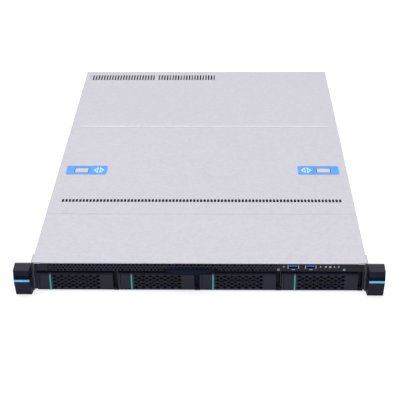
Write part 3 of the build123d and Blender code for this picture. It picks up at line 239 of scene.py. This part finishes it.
# Lengths that tell painted faces apart: a skin, which print and welds take too, the reach of a sheet's edge
# and of a bead, a tray's step, the share of a socket that is rim, and a supply's wall, inlet and pins
SKIN = 0.05 * MM
EDGE_REACH = 4.0 * MM
BEAD_REACH = 1.0 * MM
TRAY_STEP = 6.0 * MM
SOCKET_RIM = 0.2
CASE_WALL = 2.0 * MM
INLET_REACH = 21.0 * MM
PIN_REACH = (1.0 * MM, 8.0 * MM)

# Moulded pieces and folded sheet with broken edges
SOFT_NODES = ["ear_housings", "ear_flap_left", "ear_flap_right", "pull_tag", "front_cover", "control_panel"]
SOFT_NODES += [f"{piece}_{bay}" for piece in ("tray", "release_button") for bay in BAYS]
SOFT_EDGE = 0.35 * MM
SOFT_SEGMENTS = 2
SOFT_ANGLE = math.radians(30)
WELD_REACH = 0.002 * MM

# Marks on the control panel, from its lower left corner: lamp marks by their place and number of sides,
# bars under the sockets, a square and a power sign
MARKS = ((9.4 * MM, 3), (57.4 * MM, 3), (64.3 * MM, 4), (69.9 * MM, 16), (75.4 * MM, 3), (81.0 * MM, 3))
MARK_UP = 6.1 * MM
MARK_RADIUS = 1.5 * MM
BARS = (22.0 * MM, 44.8 * MM)
BAR_UP = 1.9 * MM
BAR_SIZE = (4.6 * MM, 0.9 * MM)
SIGN_UP = 1.75 * MM
SQUARE_AT = 2.6 * MM
SQUARE_SIZE = 2.6 * MM
POWER_AT = 88.4 * MM
POWER_RING = (1.0 * MM, 1.6 * MM)
POWER_OPENING = math.radians(40)
POWER_STEPS = 14
LINE = 0.55 * MM

# Screws on the side walls: their places and height, the head's radius, rise and sides, and a crown of four
# quarters by its share of the radius, its shift, its steps and half the width of the cross between them
SCREW_PLACES = (62.0 * MM, 118.0 * MM, 178.0 * MM, 330.0 * MM, 520.0 * MM, 610.0 * MM)
SCREW_UP = 22.0 * MM
SCREW_RADIUS = 2.9 * MM
SCREW_RISE = 0.6 * MM
SCREW_SIDES = 20
CROWN_SHARE = 0.8
CROWN_SHIFT = 0.7
CROWN_STEPS = 5
QUARTERS = 4
CROSS = 0.35 * MM

# Wire screen behind the rear vents: its field across and upward, and its wires' width, thickness and pitch
SCREEN_FIELD = ((-76.0 * MM, 90.0 * MM), (27.0 * MM, 38.0 * MM))
WIRE = 1.0 * MM
WIRE_SHEET = 0.3 * MM
WIRE_PITCH = 1.7 * MM

# Punched sheet on the front strip: its left end, margin, height and thickness, and its holes' pitch, rows,
# radius and sides
PUNCH_LEFT = -197.4 * MM
PUNCH_MARGIN = 0.4 * MM
PUNCH_HEIGHT = 10.5 * MM
PUNCH_SHEET = 0.7 * MM
PUNCH_PITCH = 4.75 * MM
PUNCH_ROWS = 3
PUNCH_RADIUS = 1.68 * MM
PUNCH_SIDES = 6


class Graph:
    """The node tree of a material or a world, with short ways to add and join nodes."""

    def __init__(self, owner, shader="Principled BSDF"):
        owner.use_nodes = True
        self.owner = owner
        self.tree = owner.node_tree
        self.shader = self.tree.nodes[shader]

    def feed(self, node, socket, value):
        if isinstance(value, bpy.types.NodeSocket):
            self.tree.links.new(value, node.inputs[socket])
        else:
            node.inputs[socket].default_value = value

    def add(self, kind, inputs, **settings):
        node = self.tree.nodes.new(kind)
        for key, value in settings.items():
            setattr(node, key, value)
        for socket, value in inputs.items():
            self.feed(node, socket, value)
        return node

    def place(self, scale=(1.0, 1.0, 1.0)):
        """Object coordinates, stretched by a scale on each axis."""
        coordinates = self.add("ShaderNodeTexCoord", {})
        mapping = self.add("ShaderNodeMapping", {"Vector": coordinates.outputs["Object"], "Scale": scale})
        return mapping.outputs["Vector"]

    def axis(self, name):
        """One of the object coordinates X, Y and Z."""
        return self.add("ShaderNodeSeparateXYZ", {"Vector": self.place()}).outputs[name]

    def noise(self, scale, detail, stretch=(1.0, 1.0, 1.0)):
        inputs = {"Vector": self.place(stretch), "Scale": scale, "Detail": detail}
        return self.add("ShaderNodeTexNoise", inputs).outputs["Fac"]

    def cells(self, scale):
        """A random value for each cell of a crystal pattern."""
        inputs = {"Vector": self.place(), "Scale": scale}
        colour = self.add("ShaderNodeTexVoronoi", inputs).outputs["Color"]
        return self.add("ShaderNodeSeparateColor", {"Color": colour}).outputs["Red"]

    def maths(self, operation, first, second=0.0):
        return self.add("ShaderNodeMath", {0: first, 1: second}, operation=operation).outputs["Value"]

    def between(self, value, low, high):
        """One inside a span and nought outside it."""
        above = self.maths("GREATER_THAN", value, low)
        return self.maths("MULTIPLY", above, self.maths("LESS_THAN", value, high))

    def spread(self, value, low, high, span=PATTERN_SPAN):
        """Carry a pattern's value over to another range."""
        inputs = {"Value": value, "From Min": span[0], "From Max": span[1], "To Min": low, "To Max": high}
        return self.add("ShaderNodeMapRange", inputs).outputs["Result"]

    def tint(self, value, colour, shades, span=PATTERN_SPAN):
        """A colour between two shades of it, led by a pattern."""
        ramp = self.add("ShaderNodeValToRGB", {"Fac": value})
        for stop, place, factor in zip(ramp.color_ramp.elements, span, shades):
            stop.position = place
            stop.color = (*shade(colour, factor), 1.0)
        return ramp.outputs["Color"]

    def mix(self, share, ground, tone):
        """Lay a plain colour over a ground by a share."""
        inputs = dict(zip(MIX_INPUTS, (share, ground, (*tone, 1.0))))
        return self.add("ShaderNodeMix", inputs, data_type="RGBA").outputs[MIX_OUTPUT]

    def lay_bands(self, ground, axis, bands):
        """Lay bands of tone over a ground along an axis."""
        for span, share, tone in bands:
            band = self.between(self.axis(axis), *span)
            ground = self.mix(self.maths("MULTIPLY", band, share), ground, tone)
        return ground

    def bump(self, height, strength, distance):
        inputs = {"Height": height, "Strength": strength, "Distance": distance}
        return self.add("ShaderNodeBump", inputs).outputs["Normal"]

    def seen(self):
        """One for what the camera sees straight, in a mirror or through glass, and nought for other light."""
        rays = self.add("ShaderNodeLightPath", {}).outputs
        either = self.maths("MAXIMUM", rays["Is Camera Ray"], rays["Is Glossy Ray"])
        return self.maths("MAXIMUM", either, rays["Is Transmission Ray"])

    def done(self, **sockets):
        """Set the shader's sockets by name, with _ for a space, and give the material or world."""
        for name, value in sockets.items():
            self.feed(self.shader, name.replace("_", " "), value)
        return self.owner


def material_graph(name):
    return Graph(bpy.data.materials.new(name))


def shade(colour, factor):
    return tuple(channel * factor for channel in colour)


def zinc_finish(name, colour):
    """Galvanised sheet: crystal spangle, soft clouds and rolling lines along the sheet."""
    graph = material_graph(name)
    spangle = graph.maths("MULTIPLY", graph.cells(SPANGLE), SPANGLE_SHARE)
    cloud = graph.maths("MULTIPLY", graph.noise(*CLOUD), CLOUD_SHARE)
    rolling = graph.maths("MULTIPLY", graph.noise(*ROLLING), ROLLING_SHARE)
    pattern = graph.maths("ADD", graph.maths("ADD", spangle, cloud), rolling)
    return graph.done(
        Base_Color=graph.tint(pattern, colour, ZINC_SHADES),
        Metallic=ZINC_METALLIC,
        Roughness=graph.spread(pattern, *ZINC_ROUGHNESS),
        Specular_IOR_Level=GLOSS,
        Normal=graph.bump(pattern, *ZINC_BUMP),
    )


def floor_finish(name, colour):
    """Galvanised floor of the tub, with painted shade from its front edge, where it shows in the gaps between
    the carriers.
    """
    graph = material_graph(name)
    spangle = graph.cells(SPANGLE)
    ground = graph.tint(spangle, colour, ZINC_SHADES)
    # painted shade near the floor's front edge
    edge = graph.maths("LESS_THAN", graph.axis("Y"), FLOOR_SHADE_EDGE)
    return graph.done(
        Base_Color=graph.mix(edge, ground, FLOOR_PAINTED_SHADE),
        Metallic=ZINC_METALLIC,
        Roughness=graph.spread(spangle, *ZINC_ROUGHNESS),
        Specular_IOR_Level=FLOOR_GLOSS,
        Normal=graph.bump(spangle, *ZINC_BUMP),
    )


def plated_finish(name, colour):
    """Plated metal with fine lines from brushing."""
    graph = material_graph(name)
    brushed = graph.noise(*BRUSHED)
    return graph.done(
        Base_Color=graph.tint(brushed, colour, PLATED_SHADES),
        Metallic=1.0,
        Roughness=graph.spread(brushed, *PLATED_ROUGHNESS),
        Normal=graph.bump(brushed, *PLATED_BUMP),
    )


def grain_finish(
    name, colour, roughness, grain, specular, axis="Z", bands=(), shades=GRAIN_SHADES, uneven=GRAIN_UNEVEN
):
    """Moulded plastic or paint: fine grain, uneven gloss, a little drift in colour and bands of tone."""
    graph = material_graph(name)
    drift = graph.noise(*DRIFT)
    return graph.done(
        Base_Color=graph.lay_bands(graph.tint(drift, colour, shades), axis, bands),
        Roughness=graph.spread(drift, roughness - uneven, roughness + uneven),
        Specular_IOR_Level=specular,
        Normal=graph.bump(graph.noise(grain, GRAIN_DETAIL), *GRAIN_BUMP),
    )


def board_finish(name, colour):
    """Circuit board: solder mask over a net of fine traces."""
    graph = material_graph(name)
    traces = graph.noise(*TRACES)
    return graph.done(
        Base_Color=graph.tint(traces, colour, BOARD_SHADES, TRACE_SPAN),
        Roughness=graph.spread(graph.noise(*MASK), *BOARD_ROUGHNESS),
        Normal=graph.bump(traces, *BOARD_BUMP),
    )


def arrow_mask(graph, across, aside, tip, base):
    """One on the line of a hollow arrow head, by the distances from the lid's and the label's middle."""
    share = graph.spread(across, 0.0, 1.0, (tip, base))
    edge = graph.maths("SUBTRACT", graph.maths("MULTIPLY", share, ARROW_RISE), aside)
    inside = graph.maths("GREATER_THAN", edge, 0.0)
    filled = graph.maths("MULTIPLY", graph.between(share, *ARROW_SPAN), inside)
    core = graph.maths("GREATER_THAN", edge, ARROW_LINE)
    hollow = graph.maths("MULTIPLY", graph.maths("LESS_THAN", share, ARROW_HOLLOW), core)
    return graph.maths("SUBTRACT", filled, hollow)


def label_finish(name, colour):
    """Printed film: pale arrow heads on a ground whose colour drifts a little."""
    graph = material_graph(name)
    drift = graph.noise(*DRIFT)
    low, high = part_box("cover_labels")
    across = graph.maths("ABSOLUTE", graph.axis("X"))
    aside = graph.maths("ABSOLUTE", graph.maths("SUBTRACT", graph.axis("Y"), (low.y + high.y) / 2))
    heads = [arrow_mask(graph, across, aside, *arrow) for arrow in ARROWS]
    return graph.done(
        Base_Color=graph.mix(graph.maths("ADD", *heads), graph.tint(drift, colour, LABEL_SHADES), PRINT_PALE),
        Roughness=graph.spread(drift, *LABEL_ROUGHNESS),
        Specular_IOR_Level=GLOSS,
        Normal=graph.bump(graph.noise(FILM_GRAIN, GRAIN_DETAIL), *LABEL_BUMP),
    )


def make_finishes():
    """All finishes by name: those of the material slots, and those that are painted on."""
    finishes = {name: grain_finish(name, *looks) for name, looks in GRAINED.items()}
    finishes.update({name: zinc_finish(name, shade(ZINC, tone)) for name, tone in GALVANISED.items()})
    finishes.update({name: plated_finish(name, colour) for name, colour in PLATED.items()})
    finishes["pad_metal"] = zinc_finish("pad_metal", PAD_METAL)
    finishes["floor_zinc_painted_shade"] = floor_finish("floor_zinc_painted_shade", ZINC)
    finishes["circuit_board"] = board_finish("circuit_board", BOARD_GREEN)
    finishes["label_blue"] = label_finish("label_blue", LABEL_BLUE)
    return finishes


def dress_nodes(finishes):
    """Give each solid the finish of its material slot."""
    for part in frame["record"]["subparts"]:
        mesh = NODES[part["node"]].data
        mesh.materials.clear()
        mesh.materials.append(finishes[part["material_slot"]])


def every_face(face):
    return True


def looks_forward(face):
    return face.normal.y < -FACING


def looks_up(face):
    return face.normal.z > FACING


def paint_faces(name, finish, chosen=every_face):
    """Give some of a solid's faces another finish, by their material index alone."""
    mesh = NODES[name].data
    mesh.materials.append(finish)
    for face in mesh.polygons:
        if chosen(face):
            face.material_index = len(mesh.materials) - 1


def paint_carriers(finishes):
    """Painted shade on the carriers' recessed fronts, and the cage's edges in the two outer gaps between them
    in dim zinc, painted shade too.
    """
    for name in CARRIER_NODES:
        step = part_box(name)[0].y + TRAY_STEP
        paint_faces(name, finishes["painted_shade_dark"], lambda face: looks_forward(face) and face.center.y > step)
    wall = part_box("drive_cage")[1].x / 2

    def in_outer_gap(face):
        return looks_forward(face) and abs(abs(face.center.x) - wall) < EDGE_REACH

    paint_faces("drive_cage", finishes["painted_shade_zinc"], in_outer_gap)


def paint_lid(finishes):
    """Painted highlight and painted shade on the two sides of the lid's sunk bead, and latch pads that are
    bright on top alone, with painted shade on their sides.
    """
    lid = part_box("top_cover")[1].z

    def in_bead(face):
        return face.normal.z > LEANING and SKIN < lid - face.center.z < BEAD_REACH

    paint_faces("top_cover", finishes["bead_painted_highlight"], lambda face: in_bead(face) and face.normal.y < -LEANING)
    paint_faces("top_cover", finishes["bead_painted_shade"], lambda face: in_bead(face) and looks_up(face))
    for name in ("cover_latch_left", "cover_latch_right"):
        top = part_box(name)[1].z - SKIN
        paint_faces(name, finishes["pad_metal"], lambda face: face.center.z > top)
        # painted shade on the sides of the pads
        paint_faces(name, finishes["painted_shade_dark"], lambda face: face.center.z <= top)


def paint_edges(finishes):
    """The tub's floor, and the cut edges of sheet that stand in the shade of the ears, dimmed there as
    painted shade.
    """
    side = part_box("chassis_tub")[1].x - EDGE_REACH

    def on_floor(face):
        return looks_up(face) and face.center.z < EDGE_REACH

    def beside_ear(face):
        return looks_forward(face) and abs(face.center.x) > side

    def inward(face):
        return face.normal.x * face.center.x < 0 or looks_forward(face)

    paint_faces("chassis_tub", finishes["floor_zinc_painted_shade"], on_floor)
    paint_faces("chassis_tub", finishes["painted_shade_zinc"], beside_ear)
    paint_faces("front_cover", finishes["painted_shade_zinc"], beside_ear)
    paint_faces("ear_brackets", finishes["painted_shade_zinc"], inward)


def paint_sockets(finishes):
    """Painted shade in the insides and on the upper rims of the front USB shells, and dimmer painted shade on
    their lower rims.
    """
    low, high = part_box("usb_shells")
    rim = SOCKET_RIM * (high.z - low.z)

    def shaded(face):
        return not looks_forward(face) or face.center.z > high.z - rim

    def lower_rim(face):
        return looks_forward(face) and face.center.z < low.z + rim

    paint_faces("usb_shells", finishes["painted_shade_dark"], shaded)
    paint_faces("usb_shells", finishes["painted_shade_zinc"], lower_rim)


def paint_rear(finishes):
    """Painted shade in the insides of the rear sockets and of the supplies' inlets, with bright rims and
    pins.
    """
    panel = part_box("rear_panel")[1].y
    dark = finishes["painted_shade_dark"]
    paint_faces("rear_ports", dark, lambda face: face.normal.y < FACING or face.center.y < panel - SKIN)
    for name in ("supply_1", "supply_2"):
        low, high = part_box(name)

        def in_inlet(face):
            deep = panel - face.center.y
            across = low.x + CASE_WALL < face.center.x < high.x - CASE_WALL
            upward = low.z + CASE_WALL < face.center.z < high.z - CASE_WALL
            pin = face.normal.y > FACING and PIN_REACH[0] < deep < PIN_REACH[1]
            return across and upward and SKIN < deep + CASE_WALL < INLET_REACH and not pin

        paint_faces(name, dark, in_inlet)


def paint_nodes(finishes):
    for name, finish in REPAINTED.items():
        paint_faces(name, finishes[finish])
    paint_carriers(finishes)
    paint_lid(finishes)
    paint_edges(finishes)
    paint_sockets(finishes)
    paint_rear(finishes)


def soften(names, width):
    """Break the sharp edges of some solids, by modifiers alone."""
    for name in names:
        weld = NODES[name].modifiers.new("weld", "WELD")
        weld.merge_threshold = WELD_REACH
        bevel = NODES[name].modifiers.new("bevel", "BEVEL")
        bevel.width = width
        bevel.segments = SOFT_SEGMENTS
        bevel.limit_method = "ANGLE"
        bevel.angle_limit = SOFT_ANGLE
        bevel.harden_normals = True


def add_mesh(name, build, finish):
    """A new object, shaped by a function that fills a bmesh."""
    shape = bmesh.new()
    build(shape)
    bmesh.ops.recalc_face_normals(shape, faces=shape.faces)
    mesh = bpy.data.meshes.new(name)
    shape.to_mesh(mesh)
    shape.free()
    mesh.materials.append(finish)
    thing = bpy.data.objects.new(name, mesh)
    bpy.context.scene.collection.objects.link(thing)
    return thing


def new_piece(name, build, finish, body):
    """A mesh piece with one finish, that rides on a body."""
    piece = add_mesh(name, build, finish)
    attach(piece, body)


def on_front(y):
    """The plane that stands on a front face: u along X, v along Z, out towards -Y."""
    return Matrix(((1, 0, 0, 0), (0, 0, -1, y), (0, 1, 0, 0), (0, 0, 0, 1)))


def on_side(x, side):
    """The plane that stands on a side wall: u along Y, v along Z, out from the wall."""
    return Matrix(((0, 0, side, x), (1, 0, 0, 0), (0, 1, 0, 0), (0, 0, 0, 1)))


def points_on(shape, plane, outline, height=0.0):
    """New points of a mesh for an outline at a height over a plane."""
    return [shape.verts.new(plane @ Vector((u, v, height))) for u, v in outline]


def join_rings(shape, first, second):
    """Faces all the way round between two rings of as many points."""
    for k in range(len(first)):
        after = (k + 1) % len(first)
        shape.faces.new((first[k], first[after], second[after], second[k]))


def extrude_outline(shape, outline, plane, thickness):
    """Add a flat outline, raised to a thickness over a plane."""
    floor = points_on(shape, plane, outline)
    roof = points_on(shape, plane, outline, thickness)
    shape.faces.new(list(reversed(floor)))
    shape.faces.new(roof)
    join_rings(shape, floor, roof)


def box_outline(centre, size):
    half = (size[0] / 2, size[1] / 2)
    corners = ((-1, -1), (1, -1), (1, 1), (-1, 1))
    return [(centre[0] + sx * half[0], centre[1] + sy * half[1]) for sx, sy in corners]


def arc_points(centre, radius, turns):
    return [(centre[0] + radius * math.cos(t), centre[1] + radius * math.sin(t)) for t in turns]


def round_outline(centre, radius, sides, start=0.0):
    return arc_points(centre, radius, [start + 2 * math.pi * k / sides for k in range(sides)])


def square_outlines(centre, size, line):
    """Four bars that make a square frame."""
    u, v = centre
    reach = (size - line) / 2
    bars = [((u, v + side * reach), (size, line)) for side in (-1, 1)]
    bars += [((u + side * reach, v), (line, size - 2 * line)) for side in (-1, 1)]
    return [box_outline(*bar) for bar in bars]


def power_outlines(centre):
    """The usual power mark: an open ring with a bar in its gap."""
    start = QUARTER_TURN + POWER_OPENING
    sweep = 2 * math.pi - 2 * POWER_OPENING
    turns = [start + sweep * k / POWER_STEPS for k in range(POWER_STEPS + 1)]
    inner, outer = POWER_RING
    ring = arc_points(centre, outer, turns) + arc_points(centre, inner, reversed(turns))
    return [ring, box_outline((centre[0], centre[1] + inner), (LINE, outer))]


def panel_marks(finishes):
    """Plain white marks printed on the control panel."""
    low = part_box("control_panel")[0]
    sign = low.z + SIGN_UP
    up = low.z + MARK_UP
    marks = [round_outline((low.x + at, up), MARK_RADIUS, sides, QUARTER_TURN) for at, sides in MARKS]
    marks += [box_outline((low.x + at, low.z + BAR_UP), BAR_SIZE) for at in BARS]
    marks += square_outlines((low.x + SQUARE_AT, sign), SQUARE_SIZE, LINE)
    marks += power_outlines((low.x + POWER_AT, sign))

    def build(shape):
        for outline in marks:
            extrude_outline(shape, outline, on_front(low.y), SKIN)

    new_piece("panel_marks", build, finishes["white_print"], "chassis")


def screw_head(shape, plane, centre):
    """A low round head whose crown stands in four quarters, so that a cross is cut in it."""
    extrude_outline(shape, round_outline(centre, SCREW_RADIUS, SCREW_SIDES), plane, SCREW_RISE / 2)
    for quarter in range(QUARTERS):
        turns = [QUARTER_TURN * (quarter + k / CROWN_STEPS) for k in range(CROWN_STEPS + 1)]
        heart = Matrix.Rotation(QUARTER_TURN * quarter, 2) @ Vector((CROSS, CROSS))
        arc = arc_points(heart * CROWN_SHIFT, SCREW_RADIUS * CROWN_SHARE, turns)
        outline = [(centre[0] + u, centre[1] + v) for u, v in [heart] + arc]
        extrude_outline(shape, outline, plane, SCREW_RISE)


def side_screws(finishes):
    """The small screws that hold the cage and the cover rails to the side walls."""
    low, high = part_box("chassis_tub")

    def build(shape):
        for x, side in ((low.x, -1), (high.x, 1)):
            for y in SCREW_PLACES:
                screw_head(shape, on_side(x, side), (y, SCREW_UP))

    new_piece("side_screws", build, finishes["bright_steel"], "chassis")


def steps(span, pitch):
    return [span[0] + k * pitch for k in range(int((span[1] - span[0]) / pitch) + 1)]


def vent_screen(finishes):
    """A screen of crossed flat wires on the inside of the rear vents."""
    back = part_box("rear_panel")[0].y
    across, upward = SCREEN_FIELD
    middle = (sum(across) / 2, sum(upward) / 2)

    def build(shape):
        for u in steps(across, WIRE_PITCH):
            wire = box_outline((u, middle[1]), (WIRE, upward[1] - upward[0]))
            extrude_outline(shape, wire, on_front(back), WIRE_SHEET)
        for v in steps(upward, WIRE_PITCH):
            wire = box_outline((middle[0], v), (across[1] - across[0], WIRE))
            extrude_outline(shape, wire, on_front(back - WIRE_SHEET), WIRE_SHEET)

    new_piece("vent_screen", build, finishes["black_steel"], "chassis")


def punched_cell(shape, plane, centre, size):
    """One cell of a punched sheet: the faces between its edge and a six-sided hole."""
    wide, tall = size[0] / 2, size[1] / 2
    edge = ((0, tall), (-wide, tall), (-wide, -tall), (0, -tall), (wide, -tall), (wide, tall))
    outline = [(centre[0] + u, centre[1] + v) for u, v in edge]
    hole = round_outline(centre, PUNCH_RADIUS, PUNCH_SIDES, QUARTER_TURN)
    join_rings(shape, points_on(shape, plane, outline), points_on(shape, plane, hole))


def thicken(shape, offset):
    """Weld the cells of a flat sheet together and give it a thickness."""
    bmesh.ops.remove_doubles(shape, verts=shape.verts, dist=SKIN)
    raised = bmesh.ops.extrude_face_region(shape, geom=shape.faces[:])["geom"]
    lifted = [item for item in raised if isinstance(item, bmesh.types.BMVert)]
    bmesh.ops.translate(shape, verts=lifted, vec=offset)


def strip_sheet(finishes):
    """The finely punched sheet on the front strip, left out where the pull-out tag covers it."""
    low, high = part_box("front_bezel")
    tag_low, tag_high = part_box("pull_tag")
    plane = on_front(low.y + PUNCH_SHEET)
    left, right = PUNCH_LEFT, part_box("control_panel")[0].x - PUNCH_MARGIN
    columns = round((right - left) / PUNCH_PITCH)
    wide, tall = (right - left) / columns, PUNCH_HEIGHT / PUNCH_ROWS
    foot = high.z - PUNCH_MARGIN - PUNCH_HEIGHT

    def covered(x, z):
        beside = x + wide < tag_low.x or x - wide > tag_high.x
        return not beside and z - tall / 2 <= tag_high.z

    def add_row(shape, z, first, count):
        for x in [first + k * wide for k in range(count)]:
            if not covered(x, z):
                punched_cell(shape, plane, (x, z), (wide, tall))

    def add_ends(shape, z):
        for x in (left + wide / 4, right - wide / 4):
            shape.faces.new(points_on(shape, plane, box_outline((x, z), (wide / 2, tall))))

    def build(shape):
        for row in range(PUNCH_ROWS):
            z = foot + (row + 0.5) * tall
            shift = row % 2
            add_row(shape, z, left + (1 + shift) * wide / 2, columns - shift)
            if shift:
                add_ends(shape, z)
        thicken(shape, (0, -PUNCH_SHEET, 0))

    new_piece("strip_sheet", build, finishes["black_steel"], "chassis")


def stage_floor():
    """A plain pale floor that the camera sees as white and that keeps the shadow."""
    graph = material_graph("floor")
    finish = graph.done(
        Base_Color=(*shade(WHITE, FLOOR_ALBEDO), 1.0),
        Roughness=FLOOR_ROUGHNESS,
        Specular_IOR_Level=0.0,
        Emission_Color=(*WHITE, 1.0),
        Emission_Strength=graph.maths("MULTIPLY", graph.seen(), FLOOR_GLOW),
    )
    plane = Matrix.Translation((0, 0, -FLOOR_DROP))
    outline = box_outline((0, 0), (2 * FLOOR_HALF, 2 * FLOOR_HALF))
    floor = add_mesh("floor", lambda shape: shape.faces.new(points_on(shape, plane, outline)), finish)


def stage_world():
    """White to the camera and to reflections, plain soft light to all else."""
    graph = Graph(bpy.data.worlds.new("studio"), "Background")
    strength = graph.spread(graph.seen(), WORLD_LIGHT, 1.0, (0.0, 1.0))
    bpy.context.scene.world = graph.done(Color=(*WHITE, 1.0), Strength=strength)


def softbox(name, at, target, size, power):
    """A rectangular lamp that shiny surfaces don't mirror, so that no side of the lid washes out."""
    lamp = bpy.data.lights.new(name, "AREA")
    lamp.shape = "RECTANGLE"
    lamp.size, lamp.size_y = size
    lamp.energy = power
    holder = bpy.data.objects.new(name, lamp)
    holder.location = at
    holder.visible_glossy = False
    holder.rotation_mode = "QUATERNION"
    holder.rotation_quaternion = (Vector(target) - Vector(at)).to_track_quat("-Z", "Y")
    bpy.context.scene.collection.objects.link(holder)


def stage_camera():
    """The camera at the photograph's viewing angle."""
    level = math.cos(CAMERA_PITCH)
    down = math.sin(CAMERA_PITCH)
    forward = Vector((math.sin(CAMERA_YAW) * level, math.cos(CAMERA_YAW) * level, -down))
    right = Vector((math.cos(CAMERA_YAW), -math.sin(CAMERA_YAW), 0))
    up = right.cross(forward)
    across = right * math.cos(CAMERA_ROLL) + up * math.sin(CAMERA_ROLL)
    upright = up * math.cos(CAMERA_ROLL) - right * math.sin(CAMERA_ROLL)
    turn = Matrix((across, upright, -forward)).transposed()
    lens = bpy.data.cameras.new("camera")
    lens.lens = LENS
    lens.clip_start, lens.clip_end = CAMERA_CLIP
    camera = bpy.data.objects.new("camera", lens)
    camera.matrix_world = Matrix.Translation(CAMERA_AT) @ turn.to_4x4()
    bpy.context.scene.collection.objects.link(camera)
    bpy.context.scene.camera = camera


def set_stage():
    stage_floor()
    stage_world()
    for name, settings in LAMPS.items():
        softbox(name, *settings)
    stage_camera()
    bpy.context.scene.view_settings.view_transform = "Standard"


def main():
    finishes = make_finishes()
    dress_nodes(finishes)
    paint_nodes(finishes)
    soften(SOFT_NODES, SOFT_EDGE)
    panel_marks(finishes)
    side_screws(finishes)
    vent_screen(finishes)
    strip_sheet(finishes)
    set_stage()


main()
